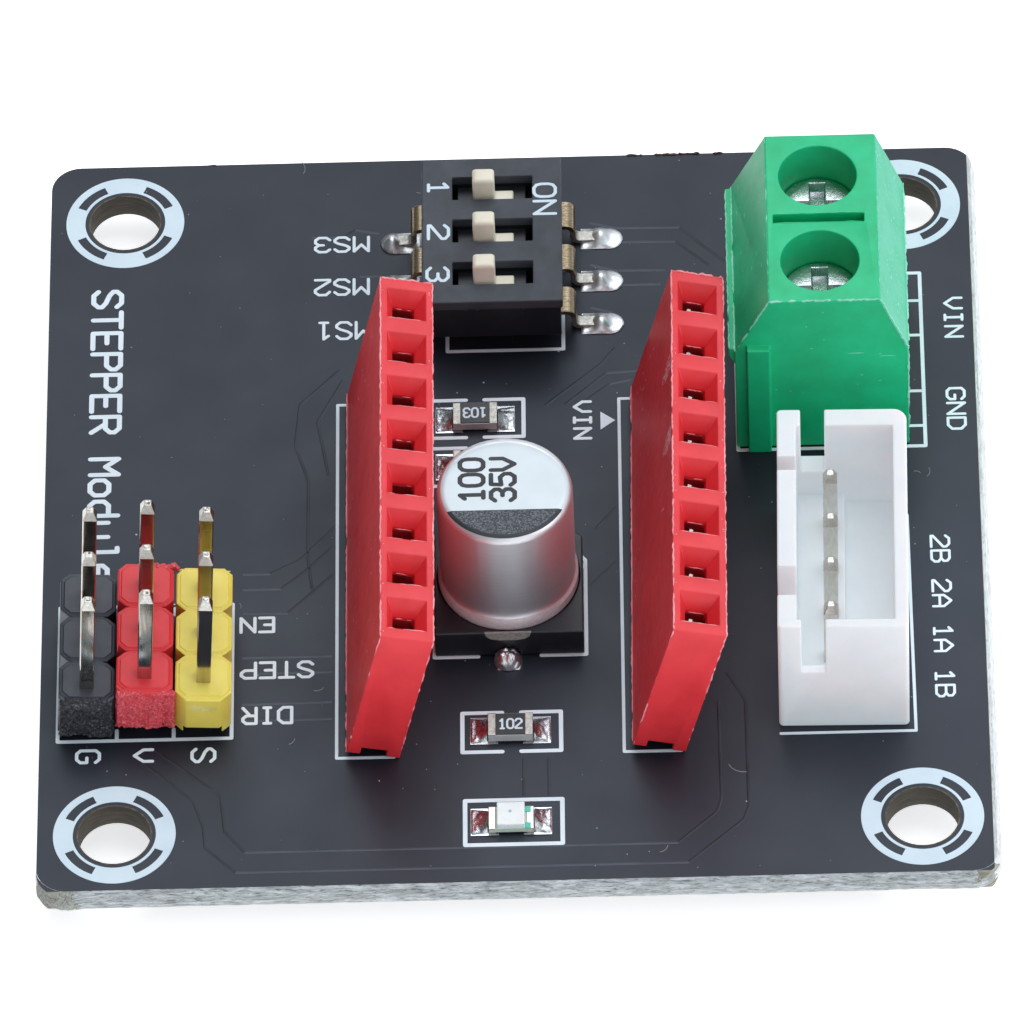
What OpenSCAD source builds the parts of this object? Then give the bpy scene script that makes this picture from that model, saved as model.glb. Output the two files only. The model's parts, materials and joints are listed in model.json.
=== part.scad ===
// Carrier board for a plug-in stepper driver: two 8-way driver sockets, a 3 x 3 control
// header, a 3-way step switch, a screw terminal for the supply and a 4-way motor socket.
// X runs to the right along the board, Y towards the back edge, Z up.
// Origin: centre of the mounting-hole pattern, on the underside of the board.

/* [Board] */
// Side of the square circuit board
board_side = 42.3; // [42:0.1:44]
// Thickness of the laminate
board_t = 1.2; // [1.2:0.1:1.6]
// Radius of the board's corners
board_corner_r = 1.35; // [0.6:0.05:2]
// Width of the snapped-off bevel along the front and right edges
edge_bevel = 0.33; // [0.1:0.01:0.4]
// Distance between the mounting holes, both ways
hole_pitch = 35.5; // [35:0.1:36]
// Diameter of the mounting holes
hole_d = 3.2; // [2.8:0.1:3.6]
// Diameter of the drilled holes for the leads
lead_hole_d = 1.15; // [1.15:0.01:1.25]
// Length of the trimmed leads below the board
tail_below = 1.6; // [1.2:0.1:3]

/* [Driver sockets] */
// Contacts in each socket
socket_ways = 8; // [4:1:8]
// Distance between the two socket rows
socket_row_gap = 12.7; // [12.7:0.01:12.8]
// Height of a socket body
socket_h = 8.3; // [7.5:0.1:8.5]
// Width of a socket body
socket_w = 2.4; // [2.3:0.05:2.5]
// Angle by which the sockets lean to the right, in degrees
socket_lean = 12.5; // [0:0.5:12.5]

/* [Control header] */
// Rows and columns of the control header
header_n = 3; // [2:1:3]
// Height of the plastic strips
header_h = 2.35; // [2:0.05:2.5]
// Side of the square pins
pin_w = 0.64; // [0.6:0.01:0.64]

/* [Step switch] */
// Travel of a slider from off to on
slider_travel = 0.8; // [0.5:0.05:0.8]
// Height of the slider knobs above the board
knob_top = 4.8; // [4.3:0.1:5]

/* [Supply terminal] */
// Distance between the two terminal screws
terminal_pitch = 5; // [5:0.01:5.08]
// Height of the terminal housing
terminal_h = 10; // [9.8:0.1:10.5]
// Diameter of the screw access holes
screw_hole_d = 3.5; // [3.5:0.05:3.7]
// Rise of a wire cage when its screw is tightened
cage_travel = 1.35; // [1:0.05:1.4]

/* [Motor socket] */
// Contacts in the motor socket
motor_ways = 4; // [2:1:4]
// Distance between the motor contacts
motor_pitch = 2.5; // [2.5:0.01:2.54]
// Height of the shroud
motor_h = 7; // [6.8:0.1:7.2]

/* [Capacitor] */
// Diameter of the can
can_d = 6.25; // [6:0.05:6.3]
// Height of the capacitor above the board
can_top = 7.75; // [7.4:0.05:7.9]

/* [Hidden] */
$fn = 48;
PITCH = 2.54;
EPS = 0.02;          // assembly gap between parts that touch
CUT = 1;             // how far a cutting shape runs past the face it opens
PAD_T = 0.05;        // copper pad with its tin
TOP = board_t;       // upper face of the board
SEAT = TOP + PAD_T;  // where surface-mounted parts sit

// driver sockets
SOCKET_X = -0.37;
SOCKET_Y = -3.6;
BODY_SHIFT = [0.15, 0.05];   // of a socket body against the drilled holes
RIGHT_LEAN = socket_lean * 1.09;
RIGHT_TURN = -0.55;          // the right socket also stands slightly askew
SOCKET_LEN = socket_ways * PITCH + 0.28;
MOUTH_X = 1.8;
MOUTH_Y = 1.74;
THROAT_X = 1;
THROAT_Y = 0.8;
FUNNEL_DEPTH = 0.8;
CHAMBER_X = 1.3;
CHAMBER_Y = 1.5;
CONTACT_T = 0.25;
CONTACT_W = 0.5;

// control header: one entry per strip, from left to right
HEADER_X = -16.49;
HEADER_Y = -8.67;
HEADER_W = 2.5;
HEADER_NOTCH = 0.5;
HEADER_LEAN = 3.8;
// Each strip: column, shift along X, lift of the plastic, height of the pin tips,
// and what was broken off its front and back ends
GROUND = [-1, -0.1, 0.04, 8.45, 0.25, 0.2];
POWER = [0, -0.1, 0.66, 8.85, 0.2, 0.15];
SIGNAL = [1, -0.03, 0.28, 8.27, 0, 0.2];

// step switch
SWITCH_X = -0.88;
SWITCH_Y = 13.55;
SWITCH_W = 6.36;
SWITCH_L = 8.56;
SWITCH_LOW = 1.27;
SWITCH_SEAM = 3.24;
SWITCH_TOP = 3.8;
LEAD_T = 0.25;
LEAD_TOP = 1.83;
LEAD_PAD_X = 0.35;   // the pads are centred to the right of the body
SLOT_L = -1.78;
SLOT_R = 1.85;
SLOT_HALF = 0.67;
TRACK_TOP = 2.95;
CARRIAGE_Z = 3;
CARRIAGE_T = 0.2;

// supply terminal, measured from its left face
TERM_X = 10;
TERM_Y = 8.45;
TERM_DEPTH = 7.75;
TERM_LEN = 2 * terminal_pitch - 0.2;
TERM_SCREW = 3.87;
POCKET_TOP = 6.55;
POCKET_HALF = 2;
HEAD_D = 3.4;
HEAD_LOW = 6.6;
HEAD_TOP = 7.85;
SHANK_D = 2.5;
PLATE_LOW = 3.7;
PLATE_T = 0.5;
STRIP_X = 0.95;
STRIP_T = 0.6;
WIRE_R = 1.4;
WIRE_Z = 2.28;
TERM_HOLE_D = 1.4;

// motor socket
MOTOR_TURN = -1;     // the socket stands slightly askew
MOTOR_X0 = 11.68;
MOTOR_X1 = 17.43;
MOTOR_Y1 = -0.2;
MOTOR_LEN = 2.4 + motor_ways * motor_pitch;
MOTOR_PIN_X = 14.02;
MOTOR_PIN_Y = -6.65;
MOTOR_PIN_TOP = 5.9;
MOTOR_SLOT_Z = 3.8;

// capacitor
CAP_X = -0.3;
CAP_Y = -4.87;
CAP_BASE = 6.6;
CAP_LOW = 1.05;
CAN_T = 0.25;
CAN_R = can_d / 2 - 0.11;      // above the rolled bead
CAN_IN = CAN_R - 0.15 - CAN_T;

// chip parts
CHIP_L = 2;
CHIP_W = 1.25;
CHIP_H = 0.42;
CHIP_END = 0.36;
PULL_A = [-1.78, 5.5];
PULL_B = [-1.78, 2.75];
LAMP_R = [-0.3, -12.45];
LAMP = [-0.3, -17.55];

// ---------- helpers ----------

// Centred position of item i in a row of n
function spread(i, n, pitch) = (i - (n - 1) / 2) * pitch;

// A box from its lowest to its highest corner
module block(low, high) {
    translate(low) cube(high - low);
}

// An outline drawn in X and Z, made l deep along Y about y = 0
module along_y(l) {
    rotate([90, 0, 0]) linear_extrude(l, center = true) children();
}

// An outline drawn in Y and Z, made l wide along X about x = 0
module along_x(l) {
    rotate([90, 0, 90]) linear_extrude(l, center = true) children();
}

// A quarter of a flat bend with inner radius r, in the quadrant x > 0, y > 0
module quarter_bend(r, t) {
    intersection() {
        difference() {
            circle(r + t);
            circle(r);
        }
        square(r + t);
    }
}

// A square pin from z0 to z1 whose two ends narrow to half its width
module square_pin(z0, z1, w = pin_w) {
    tip = 0.45;
    half = w / 2;
    outline = [
        [-half / 2, z0], [half / 2, z0], [half, z0 + tip], [half, z1 - tip],
        [half / 2, z1], [-half / 2, z1], [-half, z1 - tip], [-half, z0 + tip]
    ];
    intersection() {
        along_y(w) polygon(outline);
        along_x(w) polygon(outline);
    }
}

// Leans children to the right about the middle of the board's thickness
module leaning(x, y, angle, turn = 0) {
    translate([x, y, TOP / 2]) rotate([0, angle, turn]) translate([0, 0, -TOP / 2]) children();
}

// A flat line of thickness t from a to b
module stroke(a, b, t) {
    side = [a[1] - b[1], b[0] - a[0]] * t / 2 / norm(b - a);
    polygon([a + side, b + side, b - side, a - side]);
}

// Where the underside of a leaning body lies, in its own frame, when its lowest corner
// stands a given gap above the board
function leaning_low(angle, half_w, gap) =
    TOP / 2 + (TOP / 2 + gap + half_w * sin(angle)) / cos(angle);

// ---------- board ----------

module board_outline() {
    inner = board_side - 2 * board_corner_r;
    square([inner, board_side], center = true);
    square([board_side, inner], center = true);
    for (sx = [-1, 1], sy = [-1, 1])
        translate([sx * inner / 2, sy * inner / 2]) circle(board_corner_r);
}

// Section across the board, bevelled above and below on its low side
module board_section(flip) {
    half = board_side / 2;
    mirror([flip, 0]) polygon([
        [-half + edge_bevel, 0], [half + CUT, 0], [half + CUT, TOP], [-half + edge_bevel, TOP],
        [-half, TOP * 2 / 3], [-half, TOP / 3]
    ]);
}

module lead_holes() {
    for (i = [0 : header_n - 1], j = [0 : header_n - 1])
        translate([
            HEADER_X + spread(i, header_n, PITCH), HEADER_Y + spread(j, header_n, PITCH), -CUT
        ])
            cylinder(d = lead_hole_d, h = TOP + 2 * CUT);
    for (side = [-1, 1], i = [0 : socket_ways - 1])
        translate([
            SOCKET_X + side * socket_row_gap / 2, SOCKET_Y + spread(i, socket_ways, PITCH), -CUT
        ])
            cylinder(d = lead_hole_d, h = TOP + 2 * CUT);
    for (i = [0 : motor_ways - 1])
        translate([MOTOR_PIN_X, MOTOR_PIN_Y + spread(i, motor_ways, motor_pitch), -CUT])
            cylinder(d = lead_hole_d, h = TOP + 2 * CUT);
    for (i = [0, 1])
        translate([TERM_X + STRIP_X + STRIP_T / 2, TERM_Y + spread(i, 2, terminal_pitch), -CUT])
            cylinder(d = TERM_HOLE_D, h = TOP + 2 * CUT);
}

module circuit_board() {
    color([0.17, 0.18, 0.2]) difference() {
        intersection() {
            linear_extrude(TOP) board_outline();
            along_x(board_side + 2 * CUT) board_section(0);
            along_y(board_side + 2 * CUT) board_section(1);
        }
        for (sx = [-1, 1], sy = [-1, 1])
            translate([sx * hole_pitch / 2, sy * hole_pitch / 2, -CUT])
                cylinder(d = hole_d, h = TOP + 2 * CUT, $fn = 96);
        lead_holes();
    }
}

// A pad with one round end, pointing along +X from x0 to x1
module round_pad(x0, x1, w) {
    translate([x0, -w / 2]) square([x1 - x0 - w / 2, w]);
    translate([x1 - w / 2, 0]) circle(w / 2);
}

module chip_pads(at, x0, x1, w) {
    for (side = [0, 1])
        translate(at) mirror([side, 0]) translate([x0, -w / 2]) square([x1 - x0, w]);
}

module copper_pads() {
    switch_pad_x0 = 3.63;
    switch_pad_x1 = 5.51;
    color([0.86, 0.88, 0.9]) translate([0, 0, TOP]) linear_extrude(PAD_T) {
        for (side = [0, 1], i = [-1 : 1])
            translate([SWITCH_X + LEAD_PAD_X, SWITCH_Y + i * PITCH])
                mirror([side, 0]) round_pad(switch_pad_x0, switch_pad_x1, 1.2);
        for (at = [PULL_A, PULL_B, LAMP_R, LAMP])
            chip_pads(at, 0.55, 1.78, 1.5);
        for (side = [0, 1])
            translate([CAP_X, CAP_Y]) mirror([0, side])
                translate([-0.55, 2]) square([1.1, 2.15]);
    }
}

// One soldered joint under the board: a cone round a lead
module solder_cone(x, y, r) {
    height = 1;
    top_r = 0.48;
    translate([x, y, -height]) cylinder(r1 = top_r, r2 = r, h = height);
}

module solder_joints() {
    pin_r = 0.88;
    terminal_r = 1.2;
    color([0.75, 0.77, 0.8]) {
        for (strip = [GROUND, POWER, SIGNAL])
            difference() {
                for (j = [0 : header_n - 1])
                    solder_cone(
                        HEADER_X + strip[0] * PITCH, HEADER_Y + spread(j, header_n, PITCH), pin_r
                    );
                header_pins(strip);
            }
        for (side = [-1, 1])
            difference() {
                for (i = [0 : socket_ways - 1])
                    solder_cone(
                        SOCKET_X + side * socket_row_gap / 2,
                        SOCKET_Y + spread(i, socket_ways, PITCH), pin_r
                    );
                socket_tails(side);
            }
        difference() {
            for (i = [0 : motor_ways - 1])
                solder_cone(
                    MOTOR_PIN_X, MOTOR_PIN_Y + spread(i, motor_ways, motor_pitch), pin_r
                );
            motor_pin_row();
        }
        for (i = [0, 1])
            difference() {
                translate([
                    TERM_X + STRIP_X + STRIP_T / 2, TERM_Y + spread(i, 2, terminal_pitch), -1
                ])
                    cylinder(r1 = 0.75, r2 = terminal_r, h = 1);
                terminal_strip(i);
            }
    }
}

// ---------- driver sockets ----------

function lean_of(side) = side < 0 ? socket_lean : RIGHT_LEAN;
function socket_low(side) = leaning_low(lean_of(side), socket_w / 2, EPS);

module in_socket(side) {
    leaning(
        SOCKET_X + side * socket_row_gap / 2 + BODY_SHIFT[0], SOCKET_Y + BODY_SHIFT[1],
        lean_of(side), side < 0 ? 0 : RIGHT_TURN
    )
        children();
}

// A square funnel that narrows downwards from its mouth at z = 0
module funnel() {
    intersection() {
        along_y(MOUTH_Y) polygon([
            [-MOUTH_X / 2, CUT / 100], [MOUTH_X / 2, CUT / 100], [MOUTH_X / 2, 0],
            [THROAT_X / 2, -FUNNEL_DEPTH], [-THROAT_X / 2, -FUNNEL_DEPTH], [-MOUTH_X / 2, 0]
        ]);
        along_x(MOUTH_X) polygon([
            [-MOUTH_Y / 2, CUT / 100], [MOUTH_Y / 2, CUT / 100], [MOUTH_Y / 2, 0],
            [THROAT_Y / 2, -FUNNEL_DEPTH], [-THROAT_Y / 2, -FUNNEL_DEPTH], [-MOUTH_Y / 2, 0]
        ]);
    }
}

module driver_socket(side) {
    low = socket_low(side);
    high = low + socket_h;
    channel_w = 1.15;
    channel_h = 0.42;
    throat_low = high - 1.3;
    color([0.84, 0.18, 0.2]) in_socket(side) difference() {
        block(
            [-socket_w / 2, -SOCKET_LEN / 2, low],
            [socket_w / 2, SOCKET_LEN / 2, high]
        );
        block(
            [-channel_w / 2, -SOCKET_LEN / 2 - CUT, low - CUT],
            [channel_w / 2, SOCKET_LEN / 2 + CUT, low + channel_h]
        );
        for (i = [0 : socket_ways - 1])
            translate([0, spread(i, socket_ways, PITCH), 0]) {
                translate([0, 0, high]) funnel();
                block([-THROAT_X / 2, -THROAT_Y / 2, throat_low - CUT], [THROAT_X / 2, THROAT_Y / 2, high]);
                block(
                    [-CHAMBER_X / 2, -CHAMBER_Y / 2, low - CUT],
                    [CHAMBER_X / 2, CHAMBER_Y / 2, throat_low]
                );
            }
    }
}

// The flat tails that go through the board
module socket_tails(side) {
    root = socket_low(side) + 0.6;
    in_socket(side)
        for (i = [0 : socket_ways - 1])
            translate([0, spread(i, socket_ways, PITCH), 0])
                block(
                    [-BODY_SHIFT[0] - CONTACT_T / 2, -CONTACT_W / 2, -tail_below],
                    [-BODY_SHIFT[0] + CONTACT_T / 2, CONTACT_W / 2, root]
                );
}

module socket_contacts(side) {
    low = socket_low(side) + 0.6;
    leaf_h = 5.6;
    leaf_t = 0.2;
    leaf_gap = 0.5;
    foot_h = 0.7;
    half = leaf_gap / 2 + leaf_t;
    pinch = 0.13;
    mouth = leaf_gap / 2 - pinch;
    color([0.85, 0.75, 0.45]) {
        socket_tails(side);
        in_socket(side)
            for (i = [0 : socket_ways - 1])
                translate([0, spread(i, socket_ways, PITCH), low]) {
                    block([-half, -CONTACT_W, 0], [half, CONTACT_W, foot_h]);
                    for (flip = [0, 1])
                        mirror([flip, 0, 0]) along_y(2 * CONTACT_W) polygon([
                            [leaf_gap / 2, 0], [half, 0], [mouth + leaf_t, leaf_h * 0.85],
                            [half, leaf_h], [leaf_gap / 2, leaf_h], [mouth, leaf_h * 0.85]
                        ]);
                }
    }
}

// ---------- control header ----------

module in_header(strip) {
    leaning(HEADER_X + strip[0] * PITCH + strip[1], HEADER_Y, HEADER_LEAN) children();
}

// Plan of one strip: a row of squares with their corners cut off
module header_plan(strip) {
    half = HEADER_W / 2;
    reach = PITCH / 2;
    y0 = -header_n * reach + strip[4];
    y1 = header_n * reach - strip[5];
    intersection() {
        for (j = [0 : header_n - 1])
            translate([0, spread(j, header_n, PITCH)]) polygon([
                [-half + HEADER_NOTCH, -reach], [half - HEADER_NOTCH, -reach],
                [half, -reach + HEADER_NOTCH], [half, reach - HEADER_NOTCH],
                [half - HEADER_NOTCH, reach], [-half + HEADER_NOTCH, reach],
                [-half, reach - HEADER_NOTCH], [-half, -reach + HEADER_NOTCH]
            ]);
        translate([-half, y0]) square([HEADER_W, y1 - y0]);
    }
}

module header_body(strip, shade) {
    low = leaning_low(HEADER_LEAN, HEADER_W / 2, strip[2]);
    foot_h = 0.4;
    foot_gap = 1.7;
    color(shade) in_header(strip) difference() {
        translate([0, 0, low]) linear_extrude(header_h) header_plan(strip);
        block(
            [-foot_gap / 2, -header_n * PITCH, low - CUT],
            [foot_gap / 2, header_n * PITCH, low + foot_h]
        );
        for (j = [0 : header_n - 1])
            translate([0, spread(j, header_n, PITCH), 0])
                block([-pin_w / 2, -pin_w / 2, low], [pin_w / 2, pin_w / 2, low + header_h + CUT]);
    }
}

module header_pins(strip) {
    in_header(strip)
        for (j = [0 : header_n - 1])
            translate([0, spread(j, header_n, PITCH), 0])
                square_pin(-tail_below, TOP + strip[3]);
}

module header_pin_row(strip) {
    color([0.82, 0.8, 0.74]) header_pins(strip);
}

// ---------- step switch ----------

module at_switch(row = 0) {
    translate([SWITCH_X, SWITCH_Y + row * PITCH, TOP]) children();
}

module switch_base() {
    inset = 0.1;
    wall_x = 2;
    front = 1;
    back = 0.75;
    track = [-1.57, 1.54];
    track_front = -0.12;
    floor_z = LEAD_TOP - LEAD_T;
    color([0.07, 0.07, 0.08]) difference() {
        union() {
            at_switch() difference() {
                block(
                    [-SWITCH_W / 2 + inset, -SWITCH_L / 2 + inset, SWITCH_LOW],
                    [SWITCH_W / 2 - inset, SWITCH_L / 2 - inset, SWITCH_SEAM]
                );
                for (row = [-1 : 1])
                    translate([0, row * PITCH, 0])
                        block([-wall_x, -front, floor_z], [wall_x, back, SWITCH_SEAM + CUT]);
            }
            for (row = [-1 : 1])
                at_switch(row)
                    block([track[0], track_front, floor_z], [track[1], back, TRACK_TOP]);
        }
        for (row = [-1 : 1], side = [0, 1])
            switch_lead_shoulder(row, side);
    }
}

module switch_cover() {
    color([0.1, 0.1, 0.12]) at_switch() difference() {
        block(
            [-SWITCH_W / 2, -SWITCH_L / 2, SWITCH_SEAM],
            [SWITCH_W / 2, SWITCH_L / 2, SWITCH_TOP]
        );
        for (row = [-1 : 1])
            translate([0, row * PITCH, 0])
                block(
                    [SLOT_L, -SLOT_HALF, SWITCH_SEAM - CUT],
                    [SLOT_R, SLOT_HALF, SWITCH_TOP + CUT]
                );
    }
}

// The wide upper part of a lead, from its contact patch inside to its bend outside
module switch_lead_shoulder(row, side) {
    shoulder_w = 1.5;
    inner_end = 0.42;
    straight_end = 3.3;
    at_switch(row) mirror([side, 0, 0])
        block(
            [inner_end, -shoulder_w / 2, LEAD_TOP - LEAD_T],
            [straight_end, shoulder_w / 2, LEAD_TOP]
        );
}

// The gull-wing part of a lead: bend, leg, bend and foot
module switch_lead_leg(row, side) {
    straight_end = 3.3;
    bend_r = 0.2;
    leg_w = 0.56;
    bend_w = 1.5;
    leg_x = straight_end + bend_r;
    foot_end = side == 0 ? 4.85 : 4.65;
    at_switch(row) mirror([side, 0, 0]) {
        along_y(bend_w)
            translate([straight_end, LEAD_TOP - LEAD_T - bend_r]) quarter_bend(bend_r, LEAD_T);
        along_y(leg_w) {
            translate([leg_x, PAD_T + LEAD_T + bend_r])
                square([LEAD_T, LEAD_TOP - 2 * LEAD_T - 2 * bend_r - PAD_T]);
            translate([leg_x + LEAD_T + bend_r, PAD_T + LEAD_T + bend_r])
                rotate(180) quarter_bend(bend_r, LEAD_T);
            translate([leg_x + LEAD_T + bend_r, PAD_T])
                square([foot_end - leg_x - LEAD_T - bend_r, LEAD_T]);
        }
    }
}

module switch_leads() {
    color([0.78, 0.68, 0.5])
        for (row = [-1 : 1], side = [0, 1])
            union() {
                switch_lead_shoulder(row, side);
                switch_lead_leg(row, side);
            }
}

// Row 1 is the switch nearest the back edge
function switch_row(n) = 2 - n;

module switch_slider(n) {
    knob = [-0.85, 0.15];
    tongue_r = 0.99;
    front = -0.47;
    back = 0.35;
    flange = -0.93;
    edge = 0.12;
    color([0.93, 0.9, 0.8]) at_switch(switch_row(n)) {
        block([knob[0], flange, CARRIAGE_Z], [tongue_r, back, CARRIAGE_Z + CARRIAGE_T]);
        intersection() {
            translate([0, (front + back) / 2, 0]) along_y(back - front) polygon([
                [knob[0], CARRIAGE_Z], [knob[1], CARRIAGE_Z], [knob[1], knob_top - edge],
                [knob[1] - edge, knob_top], [knob[0] + edge, knob_top],
                [knob[0], knob_top - edge]
            ]);
            translate([(knob[0] + knob[1]) / 2, 0, 0]) along_x(knob[1] - knob[0]) polygon([
                [front, CARRIAGE_Z], [back, CARRIAGE_Z], [back, knob_top - edge],
                [back - edge, knob_top], [front + edge, knob_top], [front, knob_top - edge]
            ]);
        }
    }
}

// A sprung strip under the slider; switched on, its two feet bridge the contact patches
module switch_wiper(n) {
    t = 0.12;
    high = CARRIAGE_Z - t / 2 - 0.01;
    low = LEAD_TOP + t;
    mid = -0.7;
    color([0.85, 0.7, 0.35]) at_switch(switch_row(n)) translate([mid, -0.55, 0]) along_y(0.5) {
        stroke([-0.2, high], [0.2, high], t);
        for (flip = [0, 1])
            mirror([flip, 0]) {
                stroke([0.17, high], [0.6, low], t);
                stroke([0.57, low], [0.8, low + 0.3], t);
            }
    }
}

// ---------- supply terminal ----------

module at_terminal() {
    translate([TERM_X, TERM_Y, TOP]) children();
}

module at_pole(i) {
    at_terminal() translate([0, spread(i, 2, terminal_pitch), 0]) children();
}

module terminal_housing() {
    shoulder_l = 6.65;
    shoulder_r = 6.6;
    roof_l = 1.55;
    roof_r = 6.5;
    rib = [0.53, 1.56];
    rib_out = 0.35;
    rib_h = 7.05;
    ridge = 0.28;
    slot_w = 0.5;
    slot_deep = 1.5;
    pocket_x0 = 0.85;
    pocket_x1 = 6.05;
    funnel_deep = 0.5;
    color([0.13, 0.68, 0.42]) at_terminal() difference() {
        union() {
            along_y(TERM_LEN) polygon([
                [0, 0], [TERM_DEPTH, 0], [TERM_DEPTH, shoulder_r], [roof_r, terminal_h],
                [roof_l, terminal_h], [0, shoulder_l]
            ]);
            along_y(TERM_LEN - 0.3) polygon([
                [0.1, shoulder_l - 1], [0.1, shoulder_l], [-ridge, shoulder_l],
                [-ridge, shoulder_l - 0.45], [0, shoulder_l - 1]
            ]);
            block([rib[0], -TERM_LEN / 2 - rib_out, 0], [rib[1], -TERM_LEN / 2 + 0.1, rib_h]);
        }
        block(
            [rib[0] - 0.1, TERM_LEN / 2 - rib_out, -CUT],
            [rib[1] + 0.1, TERM_LEN / 2 + CUT, rib_h + 0.1]
        );
        block([1.83, -slot_w / 2, terminal_h - slot_deep], [5.9, slot_w / 2, terminal_h + CUT]);
        for (i = [0, 1])
            translate([0, spread(i, 2, terminal_pitch), 0]) {
                translate([TERM_SCREW, 0, POCKET_TOP - CUT])
                    cylinder(d = screw_hole_d, h = terminal_h, $fn = 64);
                block([pocket_x0, -POCKET_HALF, -CUT], [pocket_x1, POCKET_HALF, POCKET_TOP]);
                translate([pocket_x1 - CUT, 0, WIRE_Z]) rotate([0, 90, 0])
                    cylinder(r = WIRE_R, h = TERM_DEPTH, $fn = 64);
                translate([TERM_DEPTH - funnel_deep, 0, WIRE_Z]) rotate([0, 90, 0])
                    cylinder(r1 = WIRE_R, r2 = WIRE_R + 0.45, h = funnel_deep + EPS, $fn = 64);
            }
    }
}

module terminal_screw(i) {
    slot_w = 0.7;
    slot_deep = 0.6;
    arm = HEAD_D / 2 - 0.3;
    color([0.8, 0.81, 0.83]) at_pole(i) translate([TERM_SCREW, 0, 0]) difference() {
        union() {
            translate([0, 0, HEAD_LOW]) cylinder(d = HEAD_D, h = HEAD_TOP - HEAD_LOW, $fn = 64);
            translate([0, 0, PLATE_LOW + PLATE_T + 0.05])
                cylinder(d = SHANK_D, h = HEAD_LOW - PLATE_LOW - PLATE_T, $fn = 64);
        }
        block([-slot_w / 2, -arm, HEAD_TOP - slot_deep], [slot_w / 2, arm, HEAD_TOP + CUT]);
        block([-arm, -slot_w / 2, HEAD_TOP - slot_deep], [arm, slot_w / 2, HEAD_TOP + CUT]);
    }
}

module terminal_cage(i) {
    outer_y = 1.9;
    inner_y = 1.45;
    half_x = 1.8;
    floor_low = 0.25;
    floor_top = WIRE_Z - WIRE_R - 0.03;
    bar_low = PLATE_LOW + PLATE_T + 0.05;
    bar_top = bar_low + 0.8;
    color([0.72, 0.73, 0.75]) at_pole(i) translate([TERM_SCREW, 0, 0]) difference() {
        block([-half_x, -outer_y, floor_low], [half_x, outer_y, bar_top]);
        block([-half_x - CUT, -inner_y, floor_top], [half_x + CUT, inner_y, bar_low]);
        translate([0, 0, bar_low - CUT]) cylinder(d = SHANK_D + 0.1, h = 3 * CUT, $fn = 64);
    }
}

// The strip that runs from the clamp, down the back of the pocket and through the board
module terminal_strip(i) {
    plate_end = 5.6;
    plate_half = 1.35;
    tail_half = 0.5;
    at_pole(i) {
        block([STRIP_X, -plate_half, PLATE_LOW], [plate_end, plate_half, PLATE_LOW + PLATE_T]);
        block([STRIP_X, -plate_half, 0], [STRIP_X + STRIP_T, plate_half, PLATE_LOW]);
        block([STRIP_X, -tail_half, -TOP - tail_below], [STRIP_X + STRIP_T, tail_half, 0]);
    }
}

module terminal_contact(i) {
    color([0.82, 0.72, 0.45]) terminal_strip(i);
}

// ---------- motor socket ----------

module in_motor() {
    middle = [(MOTOR_X0 + MOTOR_X1) / 2, MOTOR_Y1 - MOTOR_LEN / 2, 0];
    translate(middle) rotate([0, 0, MOTOR_TURN]) translate(-middle) children();
}

module motor_pin_row() {
    in_motor() for (i = [0 : motor_ways - 1])
        translate([MOTOR_PIN_X, MOTOR_PIN_Y + spread(i, motor_ways, motor_pitch), 0])
            square_pin(-tail_below, TOP + MOTOR_PIN_TOP);
}

module motor_plan() {
    width = MOTOR_X1 - MOTOR_X0;
    big_r = 0.6;
    small_r = 0.2;
    translate([MOTOR_X0, MOTOR_Y1 - MOTOR_LEN]) {
        translate([small_r, 0]) square([width - small_r - big_r, MOTOR_LEN]);
        translate([0, small_r]) square([width, MOTOR_LEN - small_r - big_r]);
        translate([0, small_r]) square([small_r + EPS, MOTOR_LEN - 2 * small_r]);
        for (y = [small_r, MOTOR_LEN - small_r])
            translate([small_r, y]) circle(small_r);
        translate([width - big_r, MOTOR_LEN - big_r]) circle(big_r);
        translate([width - big_r, 0]) square([big_r - small_r, small_r + EPS]);
        translate([width - small_r, small_r]) circle(small_r);
    }
}

module motor_socket() {
    y0 = MOTOR_Y1 - MOTOR_LEN;
    cavity_x0 = MOTOR_X0 + 0.85;
    cavity_x1 = MOTOR_X1 - 0.62;
    cavity_y0 = y0 + 0.45;
    cavity_y1 = MOTOR_Y1 - 0.95;
    floor_l = 2.2;
    floor_r = 1.7;
    step_x = MOTOR_PIN_X + 0.62;
    notch_x0 = MOTOR_X0 + 1.04;
    notch_x1 = MOTOR_X0 + 2.1;
    color([0.93, 0.94, 0.95]) in_motor() translate([0, 0, TOP]) difference() {
        translate([0, 0, EPS]) linear_extrude(motor_h - EPS) motor_plan();
        block([cavity_x0, cavity_y0, floor_l], [cavity_x1, cavity_y1, motor_h + CUT]);
        block([step_x, cavity_y0, floor_r], [cavity_x1, cavity_y1, motor_h]);
        block([MOTOR_X0 - CUT, -3.64, MOTOR_SLOT_Z], [cavity_x0 + CUT, -2.9, motor_h + CUT]);
        block([MOTOR_X0 - CUT, -10.75, MOTOR_SLOT_Z], [cavity_x0 + CUT, -9.17, motor_h + CUT]);
        block([notch_x0, y0 - CUT, MOTOR_SLOT_Z], [notch_x1, cavity_y0 + CUT, motor_h + CUT]);
        block(
            [notch_x0, cavity_y1 - CUT, MOTOR_SLOT_Z],
            [notch_x1, MOTOR_Y1 + CUT, motor_h + CUT]
        );
        for (i = [0 : motor_ways - 1])
            translate([MOTOR_PIN_X, MOTOR_PIN_Y + spread(i, motor_ways, motor_pitch), 0])
                block([-pin_w / 2, -pin_w / 2, -CUT], [pin_w / 2, pin_w / 2, motor_h]);
    }
}

module motor_pins() {
    color([0.85, 0.84, 0.8]) motor_pin_row();
}

// ---------- capacitor ----------

module at_capacitor() {
    translate([CAP_X, CAP_Y, TOP]) children();
}

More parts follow.
